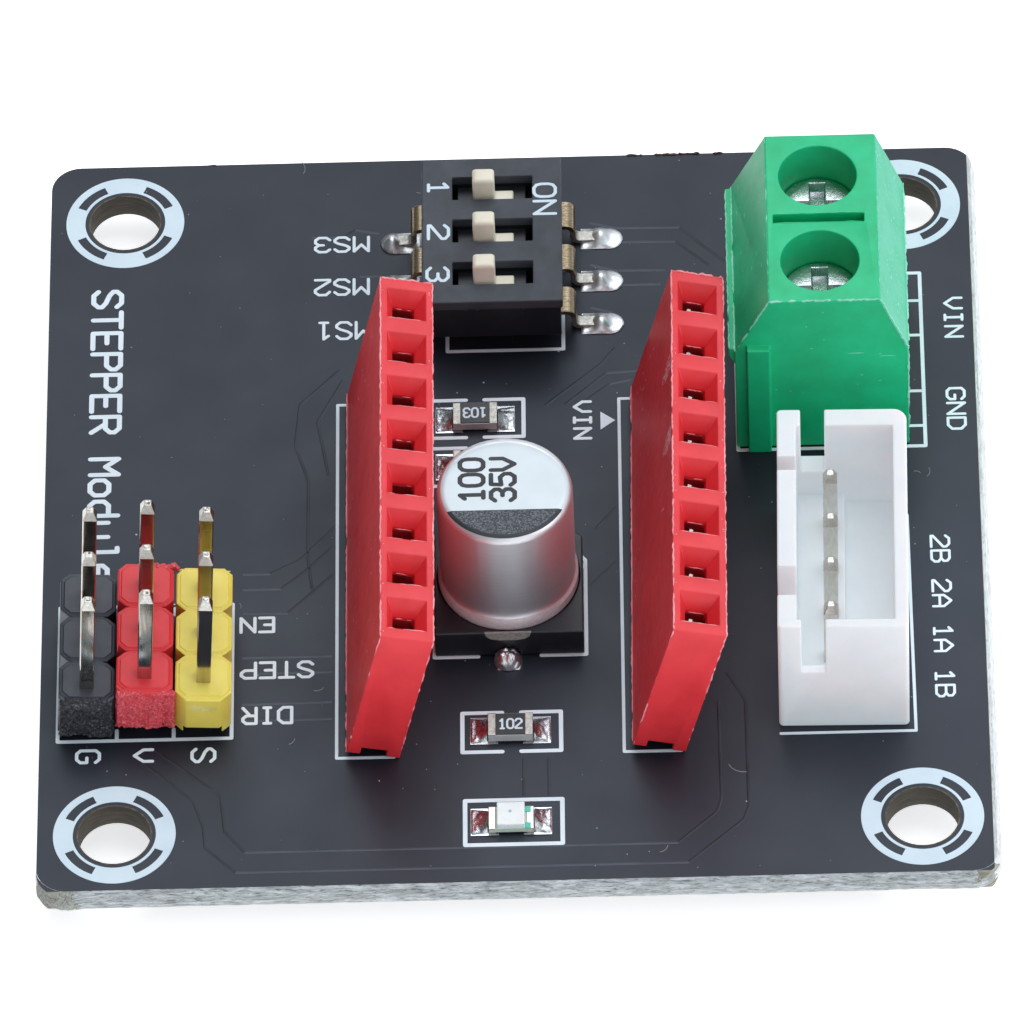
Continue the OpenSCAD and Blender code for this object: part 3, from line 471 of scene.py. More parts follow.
def circle(x, y, r, step):
    """Points round a circle, one every step degrees."""
    return [(x + r * math.cos(math.radians(a)), y + r * math.sin(math.radians(a)))
            for a in range(0, 360, step)]


def ring(bm, inner, outer, z, thick):
    """The band between two closed outlines with the same number of points."""
    loops = [[bm.verts.new((p[0], p[1], h)) for p in outline]
             for outline, h in ((inner, z), (inner, z + thick), (outer, z + thick), (outer, z))]
    skin(bm, loops + loops[:1])


def ribbon(bm, points, width, z, thick=0.02, closed=False, material=0):
    """A line of print, one round-ended bar for each straight run."""
    runs = list(zip(points, points[1:])) + ([(points[-1], points[0])] if closed else [])
    for k, (a, b) in enumerate(runs):
        a, b = Vector(a), Vector(b)
        way = math.degrees(math.atan2((b - a).y, (b - a).x))
        outline = []
        for at, first in ((a, 90), (b, -90)):
            for d in range(first, first + 181, 30):
                t = math.radians(way + d)
                outline.append(at + Vector((math.cos(t), math.sin(t))) * width / 2)
        layer = 3 if closed and k == len(runs) - 1 else k % 3      # no two bars that meet are flush
        slab(bm, outline, z, thick + 0.0007 * layer, material)


BOWL_P = [(0, 0), (0, 6), (3, 6), (4, 5), (4, 4), (3, 3), (0, 3)]
ROUND_O = [(1.2, 0), (0.3, 0.7), (0, 1.9), (0, 4.1), (0.3, 5.3), (1.2, 6), (2.8, 6), (3.7, 5.3), (4, 4.1),
           (4, 1.9), (3.7, 0.7), (2.8, 0), (1.2, 0)]
LETTER_GAP = 1.4      # in the units of the strokes below, where a letter is 4 wide and 6 high
GLYPHS = {
    "0": [ROUND_O],
    "1": [[(0.9, 4.8), (2.2, 6), (2.2, 0)], [(1.1, 0), (3.3, 0)]],
    "2": [[(0, 4.8), (1, 6), (3, 6), (4, 5), (4, 4), (0, 0.6), (0, 0), (4, 0)]],
    "3": [[(0, 5), (1, 6), (3, 6), (4, 5), (4, 4), (3, 3.1), (1.8, 3.1)],
          [(3, 3.1), (4, 2.2), (4, 1), (3, 0), (1, 0), (0, 1)]],
    "5": [[(3.8, 6), (0.4, 6), (0.2, 3.4), (2.8, 3.7), (4, 2.6), (4, 1.1), (3, 0), (1, 0), (0, 1)]],
    "A": [[(0, 0), (0, 3.6), (2, 6), (4, 3.6), (4, 0)], [(0, 2.2), (4, 2.2)]],
    "B": [[(0, 0), (0, 6), (2.8, 6), (3.8, 5.2), (3.8, 4), (2.8, 3.2), (0, 3.2)],
          [(2.8, 3.2), (4, 2.3), (4, 1), (3, 0), (0, 0)]],
    "D": [[(0, 0), (0, 6), (2.6, 6), (4, 4.6), (4, 1.4), (2.6, 0), (0, 0)]],
    "E": [[(4, 6), (0, 6), (0, 0), (4, 0)], [(0, 3), (2.6, 3)]],
    "G": [[(4, 5), (3, 6), (1, 6), (0, 5), (0, 1), (1, 0), (3, 0), (4, 1), (4, 2.7), (2.4, 2.7)]],
    "I": [[(1, 6), (3, 6)], [(2, 6), (2, 0)], [(1, 0), (3, 0)]],
    "M": [[(0, 0), (0, 6), (2, 3.2), (4, 6), (4, 0)]],
    "N": [[(0, 0), (0, 6), (4, 0), (4, 6)]],
    "O": [ROUND_O],
    "P": [BOWL_P],
    "R": [BOWL_P, [(1.8, 3), (4, 0)]],
    "S": [[(4, 5), (3, 6), (1, 6), (0, 5), (0, 4.2), (1, 3.4), (3, 2.6), (4, 1.8), (4, 1), (3, 0),
           (1, 0), (0, 1)]],
    "T": [[(0, 6), (4, 6)], [(2, 6), (2, 0)]],
    "V": [[(0, 6), (0, 3), (2, 0), (4, 3), (4, 6)]],
    "d": [[(3.6, 6), (3.6, 0), (1, 0), (0, 1), (0, 3), (1, 4), (3.6, 4)]],
    "e": [[(0, 2), (3.8, 2), (3.8, 3), (2.8, 4), (1, 4), (0, 3), (0, 1), (1, 0), (3.4, 0)]],
    "l": [[(1, 6), (2, 6), (2, 0)], [(1, 0), (3, 0)]],
    "o": [[(1, 0), (0, 1), (0, 3), (1, 4), (2.8, 4), (3.8, 3), (3.8, 1), (2.8, 0), (1, 0)]],
    "u": [[(0, 4), (0, 1), (1, 0), (3.6, 0)], [(3.6, 4), (3.6, 0)]],
    " ": [],
}


def write(bm, words, box, turn, z, weight, thick=0.02, material=0):
    """Letters that fill box = (x0, y0, x1, y1) and read along turn degrees from +X."""
    x0, y0, x1, y1 = box
    across, up = (x1 - x0, y1 - y0) if turn % 180 == 0 else (y1 - y0, x1 - x0)
    length = across - weight
    step_x = length / (4 * len(words) + LETTER_GAP * (len(words) - 1))
    step_y = (up - weight) / 6
    spin = Matrix.Rotation(math.radians(turn), 2)
    centre = Vector(((x0 + x1) / 2, (y0 + y1) / 2))
    for i, letter in enumerate(words):
        for k, stroke in enumerate(GLYPHS[letter]):
            points = [centre + spin @ Vector((((4 + LETTER_GAP) * i + x) * step_x - length / 2,
                                              (y - 3) * step_y)) for x, y in stroke]
            loop = points[0] == points[-1]
            ribbon(bm, points[:-1] if loop else points, weight, z, thick + 0.002 * k, loop, material)


def mound(bm, length, half_w, height, place, steps):
    """A drop of metal lying along local +X: half_w(u) is its half width, height(u, v) its rise."""
    nu, nv = steps
    rows = []
    for i in range(nu + 1):
        u = i / nu
        w = half_w(u)
        row = []
        for j in range(nv + 1):
            v = 2 * j / nv - 1
            rim = i in (0, nu) or j in (0, nv)
            row.append(bm.verts.new(place @ Vector((u * length, v * w, 0 if rim else height(u, v)))))
        rows.append(row)
    bm.faces.new(sheet(bm, rows))


def burr(bm, a, b, size, seed, step=0.12, cover=1.0, material=0, place=None):
    """A thin uneven ridge of torn plastic along the edge from a to b."""
    place = place or Matrix.Identity(4)
    a, b = Vector(a), Vector(b)
    dice = random.Random(seed)
    along = (b - a).normalized()
    side = along.orthogonal().normalized()
    other = along.cross(side)
    count = max(3, int((b - a).length / step))
    runs, run = [], []
    for i in range(count + 1):
        if dice.random() < cover:
            run.append(i)
        else:
            runs.append(run)
            run = []
    runs.append(run)
    for run in (r for r in runs if len(r) > 1):
        loops = []
        for k, i in enumerate(run):
            end = k in (0, len(run) - 1)
            r = size * (0.25 if end else dice.uniform(0.45, 1.0))
            drift = side * dice.uniform(-0.3, 0.3) + other * dice.uniform(-0.3, 0.3)
            at = a.lerp(b, i / count) + drift * size
            loops.append([bm.verts.new(place @ (at + (side * math.cos(t) + other * math.sin(t)) * r))
                          for t in (0, math.pi / 2, math.pi, 3 * math.pi / 2)])
        tube(bm, loops, material)


def torn_face(bm, place, x0, x1, z0, z1, y, reach, seed, back=0.15, steps=(60, 44), material=0):
    """A broken plastic face looking along local -Y, its surface torn by up to reach."""
    nx, nz = steps
    rows = []
    for k in range(nz + 1):
        row = []
        for i in range(nx + 1):
            x, z = x0 + (x1 - x0) * i / nx, z0 + (z1 - z0) * k / nz
            rough = 0.5 * noise.fractal(Vector((x * 1.6, z * 1.6, seed)), 0.7, 2.2, 3)
            rough += 0.3 * noise.fractal(Vector((x * 9, z * 9, seed)), 0.5, 2.2, 3)
            rim = i in (0, nx) or k in (0, nz)
            jag = 0.1 * noise.fractal(Vector((x * 5, z * 5, seed + 4)), 0.6, 2.2, 4)
            deep = reach * max(0.05, 0.5 + 0.75 * rough) * (0.35 if rim else 1)
            if rim:
                x += jag * (1 if i in (0, nx) else 0.3)
                z += jag * (1 if k in (0, nz) else 0.3)
            row.append(bm.verts.new(place @ Vector((x, y - deep, z))))
        rows.append(row)
    rim = sheet(bm, rows, material)
    inward = (place.to_3x3() @ Vector((0, 1, 0))) * back
    behind = [bm.verts.new(v.co + inward) for v in rim]
    skin(bm, (rim, behind), material)
    bm.faces.new(behind).material_index = material


def rubs(bm, place, box, count, size, seed):
    """Short pale strokes rubbed into a flat face; the face is local z = 0 and they run along local X."""
    dice = random.Random(seed)
    x0, y0, x1, y1 = box
    for _ in range(count):
        x, y = dice.uniform(x0, x1), dice.uniform(y0, y1)
        half = size * dice.uniform(0.2, 1) ** 1.5
        tall, tilt = dice.uniform(0.01, 0.035), dice.uniform(-0.2, 0.2)
        slab(bm, [(x - half, y - tilt * half), (x + half * 0.1, y - tall), (x + half, y + tilt * half),
                  (x - half * 0.2, y + tall)], -0.01, 0.01 + dice.uniform(0.004, 0.009), 0, place)


# ---------- board ----------

dress("circuit_board", MASK)
dress("copper_pads", PAD)
dress("solder_joints", SOLDER)

SIDE = 21.15      # from the centre to each edge of the board
CORNER = 1.35     # the radius of its corners
BEVEL = 0.33      # how far the frayed front edge is drawn in above and below


def edge_path():
    """(point, outward normal, share of bevel, share of roughness) from the front left to the rear right."""
    inner = SIDE - CORNER
    path = []
    def turn(cx, cy, first, last, bevel, rough):
        for d in range(first, last + 1, 6):
            n = Vector((math.cos(math.radians(d)), math.sin(math.radians(d))))
            path.append((Vector((cx, cy)) + n * CORNER, n, bevel(n), rough(n)))
    steps = 330
    turn(-inner, -inner, 180, 270, lambda n: max(0.0, -n.y), lambda n: 1.0 if n.y < -0.25 else 0.2)
    path += [(Vector((-inner + 2 * inner * i / steps, -SIDE)), Vector((0, -1)), 1.0,
              max(0.0, 0.8 - i / 9, 0.4 - (steps - i) / 6)) for i in range(1, steps)]
    turn(inner, -inner, 270, 360, lambda n: max(0.55, -n.y), lambda n: 0.4 * max(0.0, -n.y))
    path += [(Vector((SIDE, -inner + 2 * inner * i / steps)), Vector((1, 0)), 0.55, 0.0)
             for i in range(1, steps)]
    turn(inner, inner, 0, 42, lambda n: max(0.0, 0.55 - n.y), lambda n: 0.0)
    return path


def snapped_edge():
    """The frayed laminate left along the front and right edges when the board was snapped out."""
    bm = bmesh.new()
    path = edge_path()
    loops = []
    levels = 11
    for point, normal, bevel, rough in path:
        front = normal.y < -0.5
        loop = []
        for k in range(levels):
            t = k / (levels - 1)
            inset = BEVEL * bevel * max(0.0, 1 - 3 * t, 3 * t - 2)
            run = point.x * 1.1 + point.y * 0.9
            fray = noise.fractal(Vector((run * 0.9, t * 4.2, 3.0)), 0.8, 2.0, 5)
            fray += 0.5 * noise.noise(Vector((run * 5, t * 9, 7.0)))
            if k in (0, levels - 1):
                splinter = 0.05 * abs(noise.noise(Vector((run * 6, 2, 1.0))))
                out = 0.008 + (0.018 if front else 0.006) * fray + rough * splinter
            else:
                splinter = 0.03 + 0.2 * abs(noise.noise(Vector((run * 5, t * 6, 1.0))))
                out = 0.028 + (0.03 if front else 0.012) * fray + rough * splinter
            at = point + normal * (out - inset)
            loop.append(bm.verts.new((at.x, at.y, TOP * (1 - t) + (0.004 if k == 0 else 0))))
        inside = point - normal * (BEVEL + 0.12)
        loop += [bm.verts.new((inside.x, inside.y, z)) for z in (0.05, TOP - 0.05)]
        loops.append(loop)
    for (point, normal, _, rough), a, b in zip(path, loops, loops[1:]):
        for k in range(len(a)):
            j = (k + 1) % len(a)
            ragged = rough + 0.5 * noise.noise(Vector((point.x * 3.1, k * 0.7, point.y * 3.1)))
            # faces that do not look to the front take the paler copy, painted light
            material = 2 if ragged > 0.42 else 0 if normal.y < -0.7 else 1
            bm.faces.new((a[k], b[k], b[j], a[j])).material_index = material
    for end in (loops[0], loops[-1][::-1]):
        bm.faces.new(end)
    make_piece("frayed_edge", bm, [FIBRE_FRONT, FIBRE_RIGHT_PAINTED_LIGHT, FIBRE_CUT], "black_laminate", smooth=50)


def tracks():
    """Copper tracks under the mask show as fine raised lines; those along X get a painted highlight, the rest
    painted shade.
    """
    lines = [
        [(-16.4, -13.9), (-14.3, -16), (-13.85, -17.4), (-13.75, -18.6), (-12.4, -20), (7.45, -20),
         (9.9, -17.7), (10.15, -17), (10.1, -11), (9.3, -9.4)],
        [(-16.3, -12.8), (-13.1, -15.7), (-12.9, -17.7), (-12, -18.9), (7, -18.9), (8.75, -17.2),
         (8.95, -16.5), (8.9, -11)],
        [(-12.2, -3.17), (-11, -3.17), (-9.65, -2.4), (-8.1, -0.55)],
        [(-12.2, -4.05), (-10.5, -4.05), (-9.35, -3), (-8.2, -1.7)],
        [(-12.2, -5.4), (-10.2, -5.45), (-9.2, -4.4), (-8.2, -3.3)],
        [(-12.2, -7.95), (-8.2, -7.95)], [(-12.2, -8.85), (-8.2, -8.85)],
        [(-12.2, -10.6), (-8.2, -10.55)], [(-12.2, -11.55), (-8.2, -11.5)],
        [(-9.1, -4.1), (-9.3, -2.4), (-9.3, 2.2), (-9.9, 4.2), (-9.7, 6.65), (-7.9, 8.65)],
        [(-8.4, 2.5), (-8.9, 5.6), (-7.75, 8.05)],
        [(0.27, -14), (0.27, -16.1)], [(1.38, -14), (1.38, -16.1)],
        [(3.5, 17.1), (4.65, 16.75), (7.6, 16.7), (8.6, 15.6), (9.6, 14.6)],
        [(4.65, 15.9), (7.4, 15.85), (8.9, 14.4)],
        [(3.5, 14.56), (4.6, 14.2), (6.9, 14.15)], [(4.4, 13.33), (6.7, 13.32)], [(3.5, 12), (4.5, 11.7)],
        [(2.3, 6.3), (4.15, 8.1), (5.7, 8.2)], [(3, 6.3), (4.3, 7.45), (5.3, 7.7)],
        [(1.4, 6.3), (3.9, 8.6), (4.6, 9.6)],
        [(-9.2, 16.6), (-7.7, 16.6), (-7.2, 17), (-6.1, 16.75)], [(-7, 14.2), (-6, 14.2)],
        [(3.6, -1), (4.5, 0.2)], [(3.4, -4.2), (4.5, -2.9)],
    ]
    bm = bmesh.new()
    section = [(-0.075, 0), (-0.028, 0.009), (0.028, 0.009), (0.075, 0)]
    for line in lines:
        points = [Vector(p) for p in line]
        loops = []
        for before, p, after in zip(points[:1] + points, points, points[1:] + points[-1:]):
            way = ((after - p).normalized() + (p - before).normalized()).normalized()
            loops.append([bm.verts.new((p.x - way.y * s, p.y + way.x * s, TOP + h + 0.001))
                          for s, h in section])
        for p, q, a, b in zip(points, points[1:], loops, loops[1:]):
            # lines along X take the painted highlight, the others the painted shade
            skin(bm, (a, b), 0 if abs(q.y - p.y) < 0.45 * abs(q.x - p.x) else 1)
        for end in (loops[0], loops[-1][::-1]):
            bm.faces.new(end)
    make_piece("track_edges", bm, [TRACK_PAINTED_HIGHLIGHT, TRACK_PAINTED_SHADE], "black_laminate", smooth=2)


def mount_rings():
    """The white target printed round each mounting hole, and the bronze rim of the hole."""
    bm = bmesh.new()
    for hx, hy in HOLES:
        for inner, outer in ((1.83, 1.96), (2.37, 2.7)):
            ring(bm, circle(hx, hy, inner, 3), circle(hx, hy, outer, 3), TOP, 0.02)
        for q in range(4):
            arc = [math.radians(a) for a in range(q * 90 - 24, q * 90 + 25, 3)]
            slab(bm, [(hx + r * math.cos(a), hy + r * math.sin(a))
                      for r, angles in ((1.94, arc), (2.39, arc[::-1])) for a in angles], TOP, 0.019)
    make_piece("printed_rings", bm, [INK], "black_laminate")
    bm = bmesh.new()
    for hx, hy in HOLES:
        ring(bm, circle(hx, hy, 1.6, 5), circle(hx, hy, 1.66, 5), TOP - 0.01, 0.018)
    make_piece("hole_rims", bm, [BRONZE_RIM], "black_laminate")


def silkscreen():
    """The white outlines round the parts, and the lettering."""
    bm = bmesh.new()
    def draw(*points, closed=False, width=0.17):
        ribbon(bm, points, width, TOP, closed=closed)
    for x0, x1 in ((-7.99, -5.45), (4.71, 7.25)):
        draw((x0, 6.56), (x1, 6.56), (x1, -13.76), (x0, -13.76), closed=True, width=0.145)
    draw((-20.34, -4.86), (-12.64, -4.86), (-12.64, -12.48), (-20.34, -12.48), closed=True)
    for x in (-17.72, -15.2):
        draw((x, -12.46), (x, -11.9))
        draw((x, -5.4), (x, -4.9))
    draw((-3.02, 10.5), (-3.02, 9.58), (2.24, 9.58), (2.24, 12))
    draw((-3.02, 16.9), (-3.02, 17.9), (2.24, 17.9), (2.24, 16.9))
    ladder = [13.6, 11.95, 9.9, 6.6, 4.56, 3.37]
    draw((16.4, ladder[0]), (18.48, ladder[0]), (18.48, ladder[-1]), (10.05, 3.37))
    for y in ladder[1:-1]:
        draw((17.6, y), (18.42, y), width=0.15)
    draw((10.05, 3.37), (10.05, 13.6), (16.4, 13.6))
    draw((17.53, -0.64), (17.6, -12.95), (11.64, -12.95), width=0.14)
    draw((1.1, -8.2), (3.1, -8.2), (3.1, -2.8), (2.1, -1.55), (1.1, -1.55))
    draw((-1.7, -8.2), (-3.65, -8.2), (-3.65, -2.8), (-2.7, -1.55), (-1.7, -1.55))
    draw((3.1, -3.3), (2.5, -2.3), width=0.14)
    for cx, cy in ((-1.78, 5.58), (-1.78, 2.77), (-0.25, -12.5)):
        for near, far in ((cx - 0.42, cx - 2.18), (cx + 0.42, cx + 2.18)):
            draw((near, cy + 1.1), (far, cy + 1.1), (far, cy - 1.1), (near, cy - 1.1), width=0.19)
    draw((-2.33, -16.32), (1.95, -16.32), (1.95, -18.79), (-2.33, -18.79), closed=True, width=0.2)
    slab(bm, [(3.87, 4.77), (4.53, 5.3), (3.87, 5.82)], TOP, 0.02)
    labels = [
        ("EN", (-12.34, -6.57, -10.74, -5.62), 180, 0.15), ("STEP", (-12.31, -9.19, -8.99, -8.18), 180, 0.15),
        ("DIR", (-12.22, -11.77, -9.91, -10.74), 180, 0.15),
        ("MS3", (-9.1, 15.64, -6.54, 16.63), 180, 0.14), ("MS2", (-9.1, 13.06, -6.54, 14.1), 180, 0.14),
        ("MS1", (-9.0, 10.42, -6.44, 11.54), 180, 0.14),
        ("G", (-19.55, -13.75, -18.4, -12.93), -90, 0.15), ("V", (-17.0, -13.75, -16.05, -12.95), -90, 0.15),
        ("S", (-14.45, -13.84, -13.3, -12.98), -90, 0.15),
        ("VIN", (2.62, 4.2, 3.5, 6.5), -90, 0.15), ("VIN", (19.5, 9.69, 20.4, 12.12), -90, 0.13),
        ("GND", (19.46, 4.26, 20.37, 6.77), -90, 0.13),
        ("2B 2A 1A 1B", (18.5, -11.12, 19.42, -1.82), -90, 0.12),
        ("STEPPER Module", (-19.24, -3.5, -17.74, 13.75), -90, 0.23),
    ]
    for words, box, turn, weight in labels:
        write(bm, words, box, turn, TOP, weight)
    make_piece("silkscreen", bm, [INK_LINE], "black_laminate")


def board_wear():
    """Brown flakes of bare laminate along the rear edge, and grit and lint lying on the mask."""
    bm = bmesh.new()
    rear = SIDE - 0.02
    for i, (x0, x1) in enumerate(((5.2, 6), (6.5, 8.6), (9.2, 9.7), (-14, -13.6))):
        burr(bm, (x0, rear, TOP), (x1, rear, TOP), 0.08, 20 + i, 0.09)
    make_piece("edge_flakes", bm, [BROWN_FLAKE], "black_laminate")
    bm = bmesh.new()
    dice = random.Random(5)
    for _ in range(150):
        x, y = dice.uniform(-20.3, 20.3), dice.uniform(-20.3, 20.3)
        if any(abs(x - hx) < 1.7 and abs(y - hy) < 1.7 for hx, hy in HOLES):
            continue
        r = dice.uniform(0.012, 0.05) * dice.uniform(0.5, 1)
        tall = dice.uniform(0.01, 0.025)
        points = [(x + r * dice.uniform(0.6, 1.3) * math.cos(a), y + r * dice.uniform(0.6, 1.3) * math.sin(a))
                  for a in (k * math.pi / 3 for k in range(6))]
        slab(bm, points, TOP, tall)
    lint = ((-9.6, 20.5, 60, 0.8), (-9.0, -9.9, -20, 0.45), (18.5, 1.6, 40, 0.5), (18.2, 1.8, 120, 0.3),
            (-6.9, 9.9, 10, 0.6), (-10.1, -12.9, 10, 0.4), (-12.3, -5.1, 60, 0.3), (-4.4, 19.2, -40, 0.4),
            (9.3, -14.6, -70, 0.9), (6.2, -19.4, 5, 0.5), (-19.9, 17.1, 80, 0.5))
    for x, y, turn, size in lint:
        curl = [(t * size, math.radians(turn + 40 * t)) for t in (0, 0.25, 0.5, 0.75, 1)]
        ribbon(bm, [(x + r * math.cos(a), y + r * math.sin(a)) for r, a in curl], 0.028, TOP, 0.012)
    make_piece("grit", bm, [PALE_GRIT], "black_laminate")


snapped_edge()
tracks()
mount_rings()
silkscreen()
board_wear()


# ---------- driver sockets ----------

SOCKETS = Vector((-0.22, -3.55))      # midway between the two
SOCKET_SIDE = 6.35                    # from there to each
SOCKET_HALF = (8 * PITCH + 0.28) / 2
SOCKET_TALL = 8.3


def foot_level(half_wide, angle, lift):
    """Where a leaning part's foot starts on its own axis, so that its lower edge clears the board by lift."""
    lean = math.radians(angle)
    return TOP / 2 + (TOP / 2 + lift + half_wide * math.sin(lean)) / math.cos(lean)


def socket_flash_and_lip_highlights(name, side, place, low, high):
    """Pale ridges along a driver socket's edges, left by the mould, and on the lips of its mouths, where they
    are a painted highlight.
    """
    end, edge = SOCKET_HALF, high - 0.02
    near = end - 0.03
    ridges = [((x, -end, edge), (x, end, edge), 0.058, 11 * side + k, 0.14, 0.97)
              for k, x in enumerate((-1.18, 1.18))]
    ridges += [((-1.17, near, edge), (1.17, near, edge), 0.085, 31 + side, 0.1, 0.95),
               ((-1.17, -near, low), (-1.17, -near, high), 0.05, 41 + side, 0.18, 0.7),
               ((1.17, -near, low), (1.17, -near, high), 0.055, 45 + side, 0.18, 0.8),
               ((-1.21, -end, low + 0.04), (-1.21, end, low + 0.04), 0.06, 51 + side, 0.2, 0.97)]
    for k in range(8):
        front = (k - 3.5) * PITCH - 0.88
        back = front + 1.26
        seed = 8 * side + k
        # The ridges on each mouth's front lip and deep on its rear edge are a painted highlight.
        ridges += [((-0.86, front, high - 0.004), (0.86, front, high - 0.004), 0.03, 500 + seed, 0.16, 0.94),
                   ((-0.34, back, high - 0.86), (0.36, back, high - 0.88), 0.035, 520 + seed, 0.1, 0.9)]
    bm = bmesh.new()
    for ridge in ridges:
        burr(bm, *ridge, place=place)
    make_piece(f"socket_flash_and_lip_highlights_{name}", bm, [RED_FLASH_AND_HIGHLIGHT], "red_plastic")


def socket_scuffs(name, side, place, low, high):
    """Rubbed places on a driver socket's left face and top; the right socket's face has two more."""
    bm = bmesh.new()
    left_face = place @ Matrix.Translation((-1.2, 0, 0)) @ Matrix.Rotation(-math.pi / 2, 4, "Y")
    rubs(bm, left_face, (low + 0.6, -9.6, high - 0.3, 9.6), 46, 0.12, 300 + side)
    for y in (5.2, 1.05) if side > 0 else ():
        rubs(bm, left_face, (high - 1.25, y - 0.45, high - 0.1, y + 0.45), 60, 0.26, int(310 + y))
        rubs(bm, left_face, (high - 1.9, y - 0.2, high - 1.0, y + 0.2), 26, 0.2, int(320 + y))
    top_face = place @ Matrix.Translation((0, 0, high))
    for x in (-1.05, 1.05):
        rubs(bm, top_face, (x - 0.04, -10, x + 0.04, 10), 10, 0.04, int(330 + side + 10 * x))
    make_piece(f"socket_scuffs_{name}", bm, [RED_SCUFF], "red_plastic")


def contact_tips(name, side, place, high):
    """The springs in shade in a driver socket's mouths, and the bright tips that show in the right one."""
    bm = bmesh.new()
    for k in range(8):
        middle = (k - 3.5) * PITCH
        if side > 0:
            x, y = -0.27 + 0.03 * (k % 3), middle - 0.2
            slab(bm, [(x - 0.09, y - 0.07), (x + 0.07, y - 0.08), (x + 0.09, y + 0.05), (x - 0.07, y + 0.07)],
                 high - 0.76, 0.06, 0, place)
        slab(bm, [(-0.44, -1.28), (0.44, -1.28), (0.44, -0.98), (0.3, -0.92), (0.1, -0.9), (-0.12, -0.93),
                  (-0.3, -0.9), (-0.44, -1.0)], 0, 0.05, 1, place @ upright_frame(-0.05, middle + 0.39, high))
    make_piece(f"contact_tips_{name}", bm, [TIN_DULL, DARK_SPRING], "gold_plate")


for side, lean, turn, name in ((-1, 12.5, 0.0, "left"), (1, 13.625, -0.55, "right")):
    refine(f"driver_socket_{name}", f"socket_body_{name}", RED, "red_plastic", 0.055)
    dress(f"socket_contacts_{name}", TIN)
    place = lean_frame(SOCKETS.x + side * SOCKET_SIDE, SOCKETS.y, lean, turn)
    low = foot_level(1.2, lean, 0.02)
    high = low + SOCKET_TALL
    socket_flash_and_lip_highlights(name, side, place, low, high)
    socket_scuffs(name, side, place, low, high)
    contact_tips(name, side, place, high)


# ---------- control header ----------

HEADER = Vector((-16.49, -8.67))      # the middle strip, before its own shift
HEADER_LEAN = 3.8
HEADER_TALL = 2.35


def pin_tips(node, seed):
    """Ragged metal left on the cut ends of a strip's three pins."""
    bm = bmesh.new()
    spread, size = 0.13, 0.1
    points = [v.co / MM for v in frame["nodes"][node].data.vertices]
    middle = (min(p.y for p in points) + max(p.y for p in points)) / 2
    for k in range(3):
        y = middle + (k - 1) * PITCH
        near = [p for p in points if abs(p.y - y) < PITCH / 2]
        peak = max(p.z for p in near)
        top = [p for p in near if p.z > peak - 0.06]
        at = sum(top, Vector()) / len(top) - Vector((0, 0, 0.03))
        burr(bm, at - Vector((spread, 0.05, 0)), at + Vector((spread, -0.05, 0)), size, seed + k, spread / 2)
        burr(bm, at - Vector((0.04, spread, 0)), at + Vector((0.06, spread, 0)), size, seed + k + 20,
             spread / 2)
    make_piece(f"{node}_ends", bm, [TIN_TIP], "tinned_copper", smooth=40)


def block_caps(bm, place, z, front, back, material):
    """The low bevelled plateau on top of each of a strip's three blocks."""
    def octagon(half_x, y0, y1, cut, h):
        return [(x, y, h) for x, y in (
            (half_x - cut, y0), (half_x, y0 + cut), (half_x, y1 - cut), (half_x - cut, y1),
            (cut - half_x, y1), (-half_x, y1 - cut), (-half_x, y0 + cut), (cut - half_x, y0))]
    for k in (-1, 0, 1):
        y0 = max(k * PITCH - 1.23, front)
        y1 = min(k * PITCH + 1.23, back)
        loops = []
        for half_x, inset, cut, rise in (
                (1.235, 0, 0.36, -0.03), (1.235, 0, 0.36, 0.012), (1.17, 0.065, 0.33, 0.05),
                (1.1, 0.135, 0.31, 0.022), (1.05, 0.185, 0.29, 0.066)):
            rim = octagon(half_x, y0 + inset, y1 - inset, cut, z + rise)
            loops.append([bm.verts.new(place @ Vector(p)) for p in rim])
        tube(bm, loops, material)


def ground_trim(bm, place, low, high):
    """The black strip's caps, its torn front end and what the mould left on its edges."""
    block_caps(bm, place, high, -3.45, 3.7, 1)
    torn_face(bm, place, -1.18, 1.15, low + 0.02, high - 0.02, -3.5, 0.3, 2.0)
    torn_top = place @ Matrix.Translation((0, -3.42, high + 0.02)) @ Matrix.Rotation(-math.pi / 2, 4, "X")
    torn_face(bm, torn_top, -0.95, 0.75, -0.62, 0.1, 0, 0.14, 3.5, back=0.03, steps=(34, 14))
    burr(bm, (-1.2, -2.9, high), (-1.2, 3.2, high), 0.04, 61, 0.2, 0.6, place=place)
    burr(bm, (-1.1, 3.58, high - 0.05), (1.1, 3.58, high - 0.05), 0.05, 62, 0.12, 0.8, place=place)
    return "torn_end_ground", [BLACK_TORN, HEADER_BLACK]


def power_trim(bm, place, low, high):
    """The red strip's caps, its torn front end and the fibres at its rear end."""
    block_caps(bm, place, high, -3.5, 3.7, 1)
    torn_face(bm, place, -1.2, 1.34, low - 0.02, high - 0.02, -3.52, 0.34, 5.0)
    burr(bm, (-0.4, 3.66, high - 0.02), (1.5, 3.6, high - 0.08), 0.2, 65, 0.1, 0.95, place=place)
    burr(bm, (0.2, 3.78, high - 0.3), (1.4, 3.78, high - 0.2), 0.16, 66, 0.12, 0.95, place=place)
    burr(bm, (-1.2, -2.9, high), (-1.2, 3.2, high), 0.035, 67, 0.2, 0.6, place=place)
    return "torn_end_power", [RED_PALE, RED]


